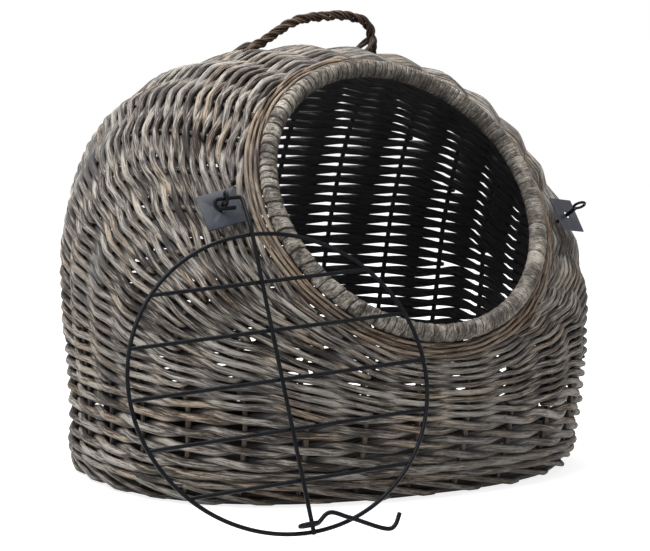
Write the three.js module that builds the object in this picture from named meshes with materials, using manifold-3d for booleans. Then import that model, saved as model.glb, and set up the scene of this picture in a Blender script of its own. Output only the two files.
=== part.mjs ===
// Wicker pet carrier: a domed willow basket with a round front opening and a wire door.
// Millimetres, +Z up. The origin is the centre of the base, on the floor. The front faces -Y.
// The door is drawn as it hangs when it is open: from its left eye, down to the floor.

import * as THREE from 'three';
import { mergeVertices } from 'three/addons/utils/BufferGeometryUtils.js';
import Module from 'manifold-3d';

// Foot and upright band of the basket, outer face.
const footHalfWidth = 239;
const footFrontReach = 198;
const footBackReach = 208;
const footSquareness = 2.4;
const bandHeight = 88;
const bandHalfWidth = 241;
const bandFrontReach = 224;
const bandBackReach = 222;

// Dome above the band, outer face, as control points of smooth curves.
const backShoulderReach = 180;
const backShoulderHeight = 343;
const domeShoulderReach = 90;
const domeShoulderHeight = 454;
const chinHeight = 122;
const sideBulgeLow = 261.5;
const sideBulgeHigh = 245;
const sideLag = 0.112;
const wallSquareness = 3.0;

// Round opening and its wrapped rim.
const openingTilt = THREE.MathUtils.degToRad(30.2);
const openingForward = 155;
const openingHeight = 261.5;
const rimRadius = 133.3;
const rimThickness = 16;
const rimWrapWall = 2.2;
const rimSlotHalfAngle = THREE.MathUtils.degToRad(50);
const rimHoopDiameter = 9.6;

// Willow work.
const stakeCount = 26;
const stakeDiameter = 6.4;
const stakeCrowding = 0.15;
const skinThickness = 4.4;
const skinClearance = 0.6;
const rowGap = 0.4;
const footBorderHeight = 15;
const upsettTop = 31;
const upsettProud = 1.2;
const collarWidth = 13;
const collarProud = 1.6;
const bandRows = 2;
const domeRows = 12;
const domeSplitRow = 6;
const domeSeat = 1.8;
const rodDiameter = 6.2;
const ribDepth = 1.6;

// Base of the basket.
const baseWeaveThickness = 5;
const baseStickDiameter = 7;
const baseStickCount = 7;
const crossStickDiameter = 6.4;
const baseStickPitch = 58;
const baseCrossTail = 12;
const baseCrossPitch = 90;
const baseClearance = 2.5;

// Twisted rope handle on the crest.
const handleDiameter = 10.5;
const handleBack = 18;
const handleRise = 30.3;
const handleLeftFoot = -64.5;
const handleRightFoot = 64;
const handleHoleClearance = 1.4;
const handleFootDepth = 4;
const tailDiameter = 4.6;
const tailSpread = 11;
const tailLength = 17;
const legLength = 14;
const legLift = 11;

// Wire door.
const doorRingRadius = 124.2;
const wireDiameter = 4;
const wireClearance = 0.3;
const crossbarCount = 5;
const barOverhang = 36.8;
const hingeOffset = 12;
const hingeLength = 22;
const hingeReturn = 5;
const hingeSetBack = 9.7;
const hookWireDiameter = 3.6;
const hookEyeRadius = 4.6;
const hookEyeTail = 10;
const hookSetBack = 5.6;
const hookHump = 6.5;
const hookDip = 14.5;
const hookReach = 60;
const hookTipReach = 71;
const hookTipRise = 3.5;
const hookLift = 5;

// Eye bolts and their square plates.
const eyeHalfSpan = 180;
const leftEyeDrop = 2.7;
const rightEyeDrop = 14.7;
const eyeLift = 5.5;
const eyeRingRadius = 5.4;
const eyeWireDiameter = 2.6;
const shankYaw = THREE.MathUtils.degToRad(10.6);
const shankRise = THREE.MathUtils.degToRad(31);
const shankDiameter = 3.6;
const shankTail = 4;
const plateStandoff = 18.4;
const plateSize = 34;
const plateThickness = 1.4;
const plateYaw = THREE.MathUtils.degToRad(22);
const leftPlateTurn = THREE.MathUtils.degToRad(17);
const rightPlateTurn = THREE.MathUtils.degToRad(-6);
const plateHoleDiameter = 7;
const wallHoleDiameter = 9;
const washerDiameter = 20;
const nutWidth = 8;
const nutHeight = 4;
const innerStackStandoff = 6.5;

const quarterTurn = Math.PI / 2;
const bandShare = 0.16;
const columnCount = stakeCount * 2;
const stakeInset = skinThickness + skinClearance + stakeDiameter / 2;
const innerSkinInset = skinThickness + 2 * skinClearance + stakeDiameter;
const wallThickness = innerSkinInset + skinThickness;
const outerRodInset = (wallThickness - rodDiameter) / 2;
const innerRodInset = (wallThickness + rodDiameter) / 2;
const rimClear = rimThickness / 2 + rowGap;
const footDepth = wallThickness + handleFootDepth;
const washerThickness = plateThickness;
const crossReach = baseStickPitch * (baseStickCount - 1) / 2 + baseCrossTail;

const wasm = await Module();
wasm.setup();

const willow = new THREE.MeshStandardMaterial({ color: 0x6e6358, roughness: 0.8, metalness: 0 });
const darkWillow = new THREE.MeshStandardMaterial({ color: 0x3a2f28, roughness: 0.75, metalness: 0 });
const warmWillow = new THREE.MeshStandardMaterial({ color: 0x7c5f49, roughness: 0.75, metalness: 0 });
const rimWillow = new THREE.MeshStandardMaterial({ color: 0x85786a, roughness: 0.7, metalness: 0 });
const ropeWillow = new THREE.MeshStandardMaterial({ color: 0x3e2c22, roughness: 0.7, metalness: 0 });
const blackWire = new THREE.MeshStandardMaterial({ color: 0x16181b, roughness: 0.4, metalness: 0.3 });
const blueSteel = new THREE.MeshStandardMaterial({ color: 0x32363f, roughness: 0.45, metalness: 0.6 });
const zincSteel = new THREE.MeshStandardMaterial({ color: 0x8b8d90, roughness: 0.35, metalness: 0.9 });

// Directions of the opening's own frame: across, up the opening and out of it.
const across = new THREE.Vector3(1, 0, 0);
const upOpening = new THREE.Vector3(0, Math.sin(openingTilt), Math.cos(openingTilt));
const outOpening = new THREE.Vector3(0, -Math.cos(openingTilt), Math.sin(openingTilt));
const openingCentre = new THREE.Vector3(0, -openingForward, openingHeight);

function inOpening(x, up, out) {
  return openingCentre.clone()
    .addScaledVector(across, x)
    .addScaledVector(upOpening, up)
    .addScaledVector(outOpening, out);
}

function rimDistance(point) {
  const offset = point.clone().sub(openingCentre);
  const radial = Math.hypot(offset.x, offset.dot(upOpening));
  return Math.hypot(radial - rimRadius, offset.dot(outOpening));
}

function cubic(a, b, c, d, t) {
  const s = 1 - t;
  return a * s ** 3 + 3 * b * t * s ** 2 + 3 * c * t * t * s + d * t ** 3;
}

function quadratic(a, b, c, t) {
  const s = 1 - t;
  return a * s * s + 2 * b * t * s + c * t * t;
}

// The wall's back, front and side at a level, from 0 at the foot to 1 at the rim.
function profile(level) {
  const squareness = quadratic(footSquareness, wallSquareness, 2, level);
  const end = rimRadius + rimThickness / 2;
  if (level < bandShare) {
    const t = level / bandShare;
    const ease = t * (2 - t);
    const z = bandHeight * t;
    return {
      back: [THREE.MathUtils.lerp(footBackReach, bandBackReach, ease), z],
      front: [-THREE.MathUtils.lerp(footFrontReach, bandFrontReach, ease), z],
      side: THREE.MathUtils.lerp(footHalfWidth, bandHalfWidth, ease),
      squareness,
      lag: 0,
    };
  }
  const t = (level - bandShare) / (1 - bandShare);
  const top = inOpening(0, end, 0);
  const bottom = inOpening(0, -end, 0);
  return {
    back: [
      cubic(bandBackReach, backShoulderReach, domeShoulderReach, top.y, t),
      cubic(bandHeight, backShoulderHeight, domeShoulderHeight, top.z, t),
    ],
    front: [
      quadratic(-bandFrontReach, -bandFrontReach, bottom.y, t),
      quadratic(bandHeight, chinHeight, bottom.z, t),
    ],
    side: cubic(bandHalfWidth, sideBulgeLow, sideBulgeHigh, end, t),
    squareness,
    lag: sideLag * 4 * level * (1 - level) * Math.min(1, (level - bandShare) * 5),
  };
}

// A point of the outer face: turn 0 is the back, a quarter turn is the +X side.
function outerPoint(level, turn) {
  const { back, front, side, squareness, lag } = profile(level);
  const angle = turn + stakeCrowding * Math.sin(turn);
  const s = Math.sin(angle);
  const c = Math.cos(angle);
  const swell = (Math.abs(s) ** squareness + Math.abs(c) ** squareness) ** (-1 / squareness);
  const sx = s * swell;
  const cy = c * swell + lag * sx * sx;
  return new THREE.Vector3(
    side * sx,
    (back[0] + front[0]) / 2 + (back[0] - front[0]) / 2 * cy,
    (back[1] + front[1]) / 2 + (back[1] - front[1]) / 2 * cy,
  );
}

function outwardNormal(level, turn) {
  const step = 1e-3;
  const low = Math.max(0, level - step);
  const high = Math.min(1, level + step);
  const rise = outerPoint(high, turn).sub(outerPoint(low, turn));
  const round = outerPoint(level, turn + step).sub(outerPoint(level, turn - step));
  const normal = rise.cross(round).normalize();
  // Rows of the band stay level, so the inset there is horizontal.
  const upright = THREE.MathUtils.clamp((level - bandShare * 0.5) / bandShare, 0, 1);
  normal.z *= upright;
  return normal.normalize();
}

function wallPoint(level, turn, inset) {
  return outerPoint(level, turn).addScaledVector(outwardNormal(level, turn), -inset);
}

function bandLevel(z) {
  return bandShare * z / bandHeight;
}

// The highest level at which the wall, at this inset, still clears the rim roll by a distance.
function levelBesideRim(turn, inset, distance) {
  let low = bandShare;
  let high = 1;
  for (let i = 0; i < 30; i += 1) {
    const middle = (low + high) / 2;
    if (rimDistance(wallPoint(middle, turn, inset)) > distance) low = middle;
    else high = middle;
  }
  return low;
}

function columnTurn(column) {
  return column * 2 * Math.PI / columnCount;
}

// A closed body through rings of points. A loop joins its last ring to its first. Ends are closed as
// fans, or as strips where a ring is a long bent section.
function ringBody(rings, loop, strips = false) {
  const sides = rings[0].length;
  const positions = rings.flat().flatMap((p) => [p.x, p.y, p.z]);
  const index = [];
  const spans = loop ? rings.length : rings.length - 1;
  for (let i = 0; i < spans; i += 1) {
    const next = (i + 1) % rings.length;
    for (let j = 0; j < sides; j += 1) {
      const side = (j + 1) % sides;
      index.push(i * sides + j, next * sides + j, next * sides + side);
      index.push(i * sides + j, next * sides + side, i * sides + side);
    }
  }
  const last = (rings.length - 1) * sides;
  if (strips) {
    for (let j = 0; j < sides / 2 - 1; j += 1) {
      const far = sides - 1 - j;
      index.push(j, j + 1, far - 1, j, far - 1, far);
      index.push(last + j, last + far - 1, last + j + 1, last + j, last + far, last + far - 1);
    }
  } else if (!loop) {
    for (let j = 1; j < sides - 1; j += 1) {
      index.push(0, j, j + 1);
      index.push(last, last + j + 1, last + j);
    }
  }
  const geometry = new THREE.BufferGeometry();
  geometry.setAttribute('position', new THREE.Float32BufferAttribute(positions, 3));
  geometry.setIndex(index);
  if (signedVolume(geometry) < 0) geometry.setIndex(index.slice().reverse());
  return geometry;
}

function signedVolume(geometry) {
  const position = geometry.attributes.position;
  const index = geometry.index.array;
  const corners = [new THREE.Vector3(), new THREE.Vector3(), new THREE.Vector3()];
  let volume = 0;
  for (let i = 0; i < index.length; i += 3) {
    corners.forEach((corner, k) => corner.fromBufferAttribute(position, index[i + k]));
    volume += corners[0].dot(corners[1].clone().cross(corners[2])) / 6;
  }
  return volume;
}

// A round rod through points, with its rings square to the path.
function rodThrough(points, diameter, sides) {
  const path = points.map((p) => p.clone());
  const tangents = path.map((p, i) => {
    const before = path[Math.max(0, i - 1)];
    const after = path[Math.min(path.length - 1, i + 1)];
    return after.clone().sub(before).normalize();
  });
  let side = new THREE.Vector3(0.31, 0.27, 0.91).cross(tangents[0]).normalize();
  const rings = path.map((p, i) => {
    side = side.clone().addScaledVector(tangents[i], -side.dot(tangents[i])).normalize();
    const other = tangents[i].clone().cross(side);
    return Array.from({ length: sides }, (_, k) => {
      const angle = 2 * Math.PI * k / sides;
      return p.clone()
        .addScaledVector(side, diameter / 2 * Math.cos(angle))
        .addScaledVector(other, diameter / 2 * Math.sin(angle));
    });
  });
  return ringBody(rings, false);
}

function smoothRod(points, diameter, sides, steps) {
  const curve = new THREE.CatmullRomCurve3(points, false, 'centripetal');
  return rodThrough(curve.getSpacedPoints(steps), diameter, sides);
}

// A bent wire: straight runs joined by round corners.
function bentWire(points, bendRadius, diameter, sides) {
  const path = [points[0]];
  for (let i = 1; i < points.length - 1; i += 1) {
    const into = points[i].clone().sub(points[i - 1]);
    const away = points[i + 1].clone().sub(points[i]);
    const trim = Math.min(bendRadius, into.length() * 0.49, away.length() * 0.49);
    const start = points[i].clone().addScaledVector(into.normalize(), -trim);
    const stop = points[i].clone().addScaledVector(away.normalize(), trim);
    const bend = new THREE.QuadraticBezierCurve3(start, points[i], stop);
    path.push(...bend.getPoints(4));
  }
  path.push(points[points.length - 1]);
  return rodThrough(path, diameter, sides);
}

function toSolid(geometry) {
  const bare = geometry.clone();
  bare.deleteAttribute('normal');
  bare.deleteAttribute('uv');
  const merged = mergeVertices(bare, 1e-4);
  return new wasm.Manifold(new wasm.Mesh({
    numProp: 3,
    vertProperties: Float32Array.from(merged.attributes.position.array),
    triVerts: Uint32Array.from(merged.index.array),
  }));
}

function fromSolid(solid) {
  const mesh = solid.getMesh();
  const geometry = new THREE.BufferGeometry();
  geometry.setAttribute('position', new THREE.Float32BufferAttribute(mesh.vertProperties, 3));
  geometry.setIndex(Array.from(mesh.triVerts));
  return geometry;
}

function cut(geometry, tools) {
  const solid = tools.reduce((body, tool) => body.subtract(toSolid(tool)), toSolid(geometry));
  return fromSolid(solid);
}

function join(geometries) {
  const solids = geometries.map(toSolid);
  return fromSolid(solids.reduce((body, other) => body.add(other)));
}

// A cylinder from a point along a direction.
function cylinderAlong(start, direction, length, diameter, sides) {
  const geometry = new THREE.CylinderGeometry(diameter / 2, diameter / 2, length, sides);
  const turn = new THREE.Quaternion().setFromUnitVectors(new THREE.Vector3(0, 1, 0), direction);
  geometry.applyQuaternion(turn);
  const middle = start.clone().addScaledVector(direction, length / 2);
  return geometry.translate(middle.x, middle.y, middle.z);
}

const carrier = new THREE.Group();
carrier.name = 'wicker_pet_carrier';

function addPiece(name, geometry, material, parent = carrier) {
  const mesh = new THREE.Mesh(geometry, material.clone());
  mesh.name = name;
  parent.add(mesh);
  return mesh;
}

// A half of the wall, right or left of the middle plane. Its sections are strips: up one face, down the other.
// Stakes stand at the odd columns.
function wallHalf(side, section) {
  const edge = rowGap / 2 / rimRadius;
  const rings = [];
  for (let column = 0; column <= columnCount / 2; column += 1) {
    const turn = THREE.MathUtils.clamp(columnTurn(column), edge, Math.PI - edge) * side;
    rings.push(section(turn, column % 2 === 1));
  }
  return ringBody(rings, false, true);
}

// A ring of the wall whose section is worked out for each column.
function wallRing(section) {
  const rings = [];
  for (let column = 0; column < columnCount; column += 1) {
    const turn = columnTurn(column);
    rings.push(section(turn).map(([level, inset]) => wallPoint(level, turn, inset)));
  }
  return ringBody(rings, true);
}

// A skin through levels: up the outer face and back down the inner one.
function skinSection(levels, outer, inner) {
  const up = levels.map((level) => [level, outer]);
  const down = levels.map((level) => [level, inner]).reverse();
  return [...up, ...down];
}

// A skin of the dome at one turn. Its open face has a rib between each two levels, and its hidden face runs
// straight from level to level, as the stakes do.
function wovenSection(turn, levels, open, hidden) {
  const groove = open + Math.sign(hidden - open) * ribDepth;
  const openFace = [];
  const hiddenFace = [];
  levels.forEach((level, row) => {
    openFace.push(wallPoint(level, turn, groove));
    hiddenFace.push(wallPoint(level, turn, hidden));
    if (row === levels.length - 1) return;
    const next = levels[row + 1];
    openFace.push(wallPoint((level + next) / 2, turn, open));
    hiddenFace.push(wallPoint(level, turn, hidden).lerp(wallPoint(next, turn, hidden), 0.5));
  });
  return [...openFace, ...hiddenFace.reverse()];
}

// The two skins pass either side of a stake, and come together as rods do between two stakes.
function outerSkin(turn, atStake, levels) {
  if (atStake) return wovenSection(turn, levels, 0, skinThickness);
  return wovenSection(turn, levels, outerRodInset, wallThickness / 2 - rowGap / 2);
}

function innerSkin(turn, atStake, levels) {
  if (atStake) return wovenSection(turn, levels, wallThickness, innerSkinInset);
  return wovenSection(turn, levels, innerRodInset, wallThickness / 2 + rowGap / 2);
}

// Levels that the weave and the stakes share, so that their flat faces run side by side.
function bandLevels(bottom) {
  const rows = Array.from({ length: bandRows }, (_, row) => THREE.MathUtils.lerp(
    upsettTop + rowGap, bandHeight - rowGap, row / bandRows));
  return [bottom, ...rows.filter((z) => z > bottom + rowGap), bandHeight - rowGap].map(bandLevel);
}

function domeLevels(turn) {
  const bottom = levelAbove(turn, bandShare, domeSeat);
  const top = levelBesideRim(turn, 0, rimClear + collarWidth + rowGap);
  return Array.from({ length: domeRows + 1 }, (_, row) => THREE.MathUtils.lerp(bottom, top, row / domeRows));
}

// Where the hole drills pass through the wall: the eye bolts and the handle's feet.
function shankDirection(side) {
  const flat = Math.cos(shankRise);
  return new THREE.Vector3(
    side * flat * Math.sin(shankYaw), -flat * Math.cos(shankYaw), Math.sin(shankRise));
}

function eyeCentre(side) {
  return inOpening(side * eyeHalfSpan, side < 0 ? -leftEyeDrop : -rightEyeDrop, eyeLift);
}

// Distance back along the shank to the wall's inner face.
function innerFaceDepth(side) {
  const direction = shankDirection(side);
  const centre = eyeCentre(side);
  let best = { miss: Infinity, depth: 0 };
  for (let level = 0.5; level < 0.99; level += 0.004) {
    for (let turn = quarterTurn; turn < Math.PI; turn += 0.01) {
      const p = wallPoint(level, turn * side, wallThickness);
      const offset = p.sub(centre);
      const depth = -offset.dot(direction);
      const miss = offset.addScaledVector(direction, depth).length();
      if (miss < best.miss) best = { miss, depth };
    }
  }
  return best.depth;
}

function shankLength(side) {
  return innerFaceDepth(side) + innerStackStandoff + washerThickness + wireClearance + nutHeight + shankTail;
}

function drillBolt(side) {
  const direction = shankDirection(side);
  const length = shankLength(side);
  return cylinderAlong(
    eyeCentre(side).addScaledVector(direction, -length), direction, length, wallHoleDiameter, 8);
}

// Height of the outer face above a point of the floor plan, near the crest.
function crestHeight(x, y) {
  let best = null;
  for (let level = 0.6; level < 0.97; level += 0.005) {
    for (let turn = -quarterTurn; turn <= quarterTurn; turn += 0.02) {
      const p = outerPoint(level, turn);
      const miss = Math.hypot(p.x - x, p.y - y);
      if (!best || miss < best.miss) best = { miss, z: p.z };
    }
  }
  return best.z;
}

const leftFootZ = crestHeight(handleLeftFoot, handleBack);
const rightFootZ = crestHeight(handleRightFoot, handleBack);
const crestZ = crestHeight(0, handleBack);

function drillFoot(x, z) {
  const diameter = handleDiameter + 2 * handleHoleClearance;
  const lowest = new THREE.Vector3(x, handleBack, z - 2 * footDepth);
  return cylinderAlong(lowest, new THREE.Vector3(0, 0, 1), 3 * footDepth, diameter, 10);
}

const wallDrills = [
  drillBolt(-1), drillBolt(1), drillFoot(handleLeftFoot, leftFootZ), drillFoot(handleRightFoot, rightFootZ),
];

// Foot border: the stake ends laid down in a flat-bottomed plait under the wall.
addPiece('foot_border', wallRing(() => {
  const top = bandLevel(footBorderHeight);
  return [[0, 0], [top, 0], [top, wallThickness], [0, wallThickness]];
}), willow);

// Upsett: the waling rods that set the stakes upright.
addPiece('upsett_wale', wallRing(() => {
  const bottom = bandLevel(footBorderHeight + rowGap);
  const top = bandLevel(upsettTop);
  return [[bottom, -upsettProud], [top, -upsettProud], [top, skinThickness], [bottom, skinThickness]];
}), willow);

addPiece('band_weave_outer', wallRing(() => skinSection(
  bandLevels(upsettTop + rowGap), 0, skinThickness)), willow);

addPiece('band_weave_inner', wallRing(() => skinSection(
  bandLevels(footBorderHeight + rowGap), innerSkinInset, wallThickness)), darkWillow);

// The level a small distance further up the wall.
function levelAbove(turn, level, distance) {
  const step = 1e-3;
  return level + step * distance / outerPoint(level, turn).distanceTo(outerPoint(level + step, turn));
}

for (const [side, label] of [[-1, 'left'], [1, 'right']]) {
  addPiece(`dome_weave_outer_${label}`, cut(wallHalf(side, (turn, atStake) => outerSkin(
    turn, atStake, domeLevels(turn))), wallDrills), willow);

  addPiece(`dome_weave_inner_${label}_low`, cut(wallHalf(side, (turn, atStake) => innerSkin(
    turn, atStake, domeLevels(turn).slice(0, domeSplitRow + 1))), wallDrills), darkWillow);

  addPiece(`dome_weave_inner_${label}_high`, cut(wallHalf(side, (turn, atStake) => {
    const levels = domeLevels(turn).slice(domeSplitRow);
    levels[0] = levelAbove(turn, levels[0], 2 * rowGap);
    const nearest = Math.min(...[wallThickness / 2, innerSkinInset, wallThickness].map(
      (inset) => levelBesideRim(turn, inset, rimClear)));
    return innerSkin(turn, atStake, [...levels, nearest]);
  }), wallDrills), darkWillow);
}

// Collar: the warm brown waling rods just outside the rim.
addPiece('collar_wale', wallRing((turn) => {
  const low = levelBesideRim(turn, 0, rimClear + collarWidth);
  const high = levelBesideRim(turn, 0, rimClear);
  const middle = (low + high) / 2;
  return [
    [low, 0], [middle, -collarProud], [high, 0],
    [Math.min(high, levelBesideRim(turn, skinThickness, rimClear)), skinThickness], [low, skinThickness],
  ];
}), warmWillow);

// Stakes: upright rods from the border to the rim, between the two faces of the weave.
for (let stake = 0; stake < stakeCount; stake += 1) {
  const turn = columnTurn(stake * 2 + 1);
  const bandPart = bandLevels(footBorderHeight + rowGap + stakeDiameter * 0.4).slice(0, -1);
  const top = levelBesideRim(turn, stakeInset, rimClear);
  const points = [...bandPart, ...domeLevels(turn), top].map((level) => wallPoint(level, turn, stakeInset));
  const name = `stake_${String(stake + 1).padStart(2, '0')}`;
  addPiece(name, rodThrough(points, stakeDiameter, 5), darkWillow);
}

// Rim: a hoop wrapped with split willow, open towards the wall where the stakes end.
const openingGroup = new THREE.Group();
openingGroup.position.copy(openingCentre);
openingGroup.rotation.x = Math.PI - openingTilt;
carrier.add(openingGroup);

function rimWrapProfile() {
  const outer = rimThickness / 2;
  const inner = outer - rimWrapWall;
  const slotMiddle = -Math.PI / 4;
  const first = slotMiddle + rimSlotHalfAngle;
  const last = slotMiddle + 2 * Math.PI - rimSlotHalfAngle;
  const steps = 6;
  const arc = (radius, k) => {
    const angle = THREE.MathUtils.lerp(first, last, k / steps);
    return new THREE.Vector2(rimRadius + radius * Math.cos(angle), radius * Math.sin(angle));
  };
  const points = [];
  for (let k = 0; k <= steps; k += 1) points.push(arc(outer, k));
  for (let k = steps; k >= 0; k -= 1) points.push(arc(inner, k));
  points.push(points[0].clone());
  return points;
}

function roundProfile(radius, thickness, sides) {
  return Array.from({ length: sides + 1 }, (_, k) => {
    const angle = 2 * Math.PI * (k % sides) / sides;
    return new THREE.Vector2(radius + thickness / 2 * Math.cos(angle), thickness / 2 * Math.sin(angle));
  });
}

function lathe(points, segments) {
  const geometry = new THREE.LatheGeometry(points, segments);
  return fromSolid(toSolid(orientOutward(geometry)));
}

function orientOutward(geometry) {
  if (signedVolume(geometry) < 0) geometry.setIndex(Array.from(geometry.index.array).reverse());
  return geometry;
}

addPiece('rim_hoop', lathe(roundProfile(rimRadius, rimHoopDiameter, 6), 48), darkWillow, openingGroup);
addPiece('rim_wrap', lathe(rimWrapProfile(), 48), rimWillow, openingGroup);

// Base: a woven mat of two faces round parallel sticks, level with the foot border's underside.
const baseInset = wallThickness + baseClearance;

function baseOutline() {
  return Array.from({ length: columnCount }, (_, column) => wallPoint(0, columnTurn(column), baseInset));
}

function baseFace(bottom, top) {
  const outline = baseOutline();
  return ringBody([bottom, top].map((z) => outline.map((p) => new THREE.Vector3(p.x, p.y, z))), false);
}

// The base outline's reach along Y at a place across the basket.
function baseReach(x, side) {
  const outline = baseOutline().filter((p) => p.y * side > 0);
  const near = outline.sort((a, b) => Math.abs(a.x - x) - Math.abs(b.x - x)).slice(0, 3);
  return Math.min(...near.map((p) => Math.abs(p.y)));
}

const stickBottom = baseWeaveThickness + wireClearance;
const upperMatBottom = stickBottom + baseStickDiameter + wireClearance;
addPiece('base_weave_under', baseFace(0, baseWeaveThickness), willow);
addPiece('base_weave_top', baseFace(upperMatBottom, upperMatBottom + baseWeaveThickness), darkWillow);
const stickZ = stickBottom + baseStickDiameter / 2;
const sticks = Array.from({ length: baseStickCount }, (_, i) => {
  const x = (i - (baseStickCount - 1) / 2) * baseStickPitch;
  const front = -baseReach(x, -1) + 2;
  const back = baseReach(x, 1) - 2;
  return cylinderAlong(
    new THREE.Vector3(x, front, stickZ), new THREE.Vector3(0, 1, 0), back - front, baseStickDiameter, 6);
});
const crossSticks = [-1, 1].map((side) => cylinderAlong(
  new THREE.Vector3(-crossReach, side * baseCrossPitch / 2, stickZ), across,
  2 * crossReach, crossStickDiameter, 6));
addPiece('base_sticks', join([...sticks, ...crossSticks]), darkWillow);

// Handle: a stiff twisted rope of willow whose feet go down through the weave.
const archZ = crestZ + handleRise;
const leftRise = archZ - leftFootZ;
const handleSpan = handleRightFoot - handleLeftFoot;
const handlePoints = [
  [handleLeftFoot, leftFootZ - footDepth],
  [handleLeftFoot, leftFootZ],
  [handleLeftFoot + handleSpan * 0.08, leftFootZ + leftRise * 0.2],
  [handleLeftFoot + handleSpan * 0.34, leftFootZ + leftRise * 0.78],
  [handleLeftFoot + handleSpan * 0.62, archZ - 1],
  [handleRightFoot - handleSpan * 0.25, archZ],
  [handleRightFoot - handleSpan * 0.05, archZ - 6],
  [handleRightFoot, rightFootZ + handleRise * 0.45],
  [handleRightFoot, rightFootZ - footDepth],
].map(([x, z]) => new THREE.Vector3(x, handleBack, z));

// Ends of the handle's strands beside each foot: tails on the weave at the left, splayed legs at the right.
function handleTail(x, footZ, side, reach, lift) {
  const root = handleBack + side * (handleDiameter / 2 - tailDiameter / 4);
  const bend = handleBack + side * (handleDiameter / 2 + tailDiameter);
  const far = handleBack + side * (handleDiameter / 2 + tailSpread);
  const bendX = x + reach / 4;
  const farX = x + reach;
  const rise = tailDiameter / 2 + skinClearance;
  const points = [
    new THREE.Vector3(x, root, footZ + tailDiameter / 2 + lift),
    new THREE.Vector3(bendX, bend, crestHeight(bendX, bend) + 2 * rise + lift * 0.6),
    new THREE.Vector3(farX, far, crestHeight(farX, far) + rise + skinClearance),
  ];
  return smoothRod(points, tailDiameter, 6, 6);
}

addPiece('handle_rope', join([
  smoothRod(handlePoints, handleDiameter, 8, 30),
  ...[-1, 1].map((side) => handleTail(handleLeftFoot, leftFootZ, side, -tailLength, 0)),
  ...[-1, 1].map((side) => handleTail(handleRightFoot, rightFootZ, side, -legLength, legLift)),
]), ropeWillow);

// Eye bolts: a ring on a threaded shank, through a square plate, the wall, a washer and a nut.
// The ring stands in a plane that holds the shank and the given upright direction.
function eyeBolt(side, upright) {
  const direction = shankDirection(side);
  const centre = eyeCentre(side);
  const ringAxis = direction.clone().cross(upright).normalize();
  const ring = new THREE.TorusGeometry(eyeRingRadius, eyeWireDiameter / 2, 6, 16);
  ring.applyQuaternion(new THREE.Quaternion().setFromUnitVectors(new THREE.Vector3(0, 0, 1), ringAxis));
  ring.translate(centre.x, centre.y, centre.z);
  const length = shankLength(side);
  const start = centre.clone().addScaledVector(direction, -length);
  const shank = cylinderAlong(start, direction, length - eyeRingRadius, shankDiameter, 8);
  return join([ring, shank]);
}

function plateNormal(side) {
  const flat = Math.cos(shankRise);
  return new THREE.Vector3(
    side * flat * Math.sin(plateYaw), -flat * Math.cos(plateYaw), Math.sin(shankRise));
}

function eyePlate(side) {
  const normal = plateNormal(side);
  const direction = shankDirection(side);
  const middle = eyeCentre(side).addScaledVector(direction, -plateStandoff);
  const plate = new THREE.BoxGeometry(plateSize, plateSize, plateThickness);
  const level = new THREE.Vector3(0, 0, 1).cross(normal).normalize();
  const basis = new THREE.Matrix4().makeBasis(level, normal.clone().cross(level), normal);
  plate.rotateZ(side < 0 ? leftPlateTurn : rightPlateTurn);
  plate.applyMatrix4(basis).translate(middle.x, middle.y, middle.z);
  const hole = cylinderAlong(
    middle.clone().addScaledVector(direction, -plateSize / 2), direction, plateSize, plateHoleDiameter, 12);
  return cut(plate, [hole]);
}

function innerStack(side, start, length, outerDiameter, sides) {
  const direction = shankDirection(side);
  const from = eyeCentre(side).addScaledVector(direction, -start - length);
  const disc = cylinderAlong(from, direction, length, outerDiameter, sides);
  const bore = cylinderAlong(
    from.clone().addScaledVector(direction, -length), direction, length * 3,
    shankDiameter + 2 * wireClearance, 8);
  return cut(disc, [bore]);
}

for (const [side, label] of [[-1, 'left'], [1, 'right']]) {
  const depth = innerFaceDepth(side) + innerStackStandoff;
  addPiece(`${label}_plate`, eyePlate(side), blueSteel);
  addPiece(`${label}_washer`, innerStack(side, depth, washerThickness, washerDiameter, 16), zincSteel);
  addPiece(`${label}_nut`,
    innerStack(side, depth + washerThickness + wireClearance, nutHeight, nutWidth, 6), zincSteel);
}

// Door, drawn closed in its own frame: along the main bar, up the opening and out of it.
// A quarter turn about the left eye's shank brings it down to the floor.
const closedFrame = new THREE.Matrix4().makeBasis(across, upOpening, outOpening);
const dropTurn = new THREE.Matrix4().makeRotationAxis(shankDirection(-1), -quarterTurn);
const restFrame = dropTurn.clone().multiply(closedFrame);
const leftEye = eyeCentre(-1);
const hingeSpan = doorRingRadius + barOverhang;
const barOut = wireDiameter + wireClearance;

// A point of the door: along the bar from the ring's centre, up, and out of the ring's plane.
function doorPoint(along, up, out) {
  const fromEye = new THREE.Vector3(along + hingeSpan, up + hingeOffset, out + hingeSetBack);
  return fromEye.applyMatrix4(restFrame).add(leftEye);
}

const doorRing = new THREE.TorusGeometry(doorRingRadius, wireDiameter / 2, 6, 48);
const doorPlacement = restFrame.clone();
doorPlacement.setPosition(doorPoint(0, 0, 0));
doorRing.applyMatrix4(doorPlacement);
addPiece('door_ring', fromSolid(toSolid(doorRing)), blackWire);

for (let bar = 1; bar <= crossbarCount; bar += 1) {
  const along = doorRingRadius * (2 * bar / (crossbarCount + 1) - 1);
  const corner = Math.abs(along) + wireDiameter / 2;
  const half = Math.sqrt((doorRingRadius - wireDiameter / 2 - wireClearance) ** 2 - corner ** 2);
  const points = [doorPoint(along, -half, 0), doorPoint(along, half, 0)];
  addPiece(`door_crossbar_${bar}`, rodThrough(points, wireDiameter, 6), blackWire);
}

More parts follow.
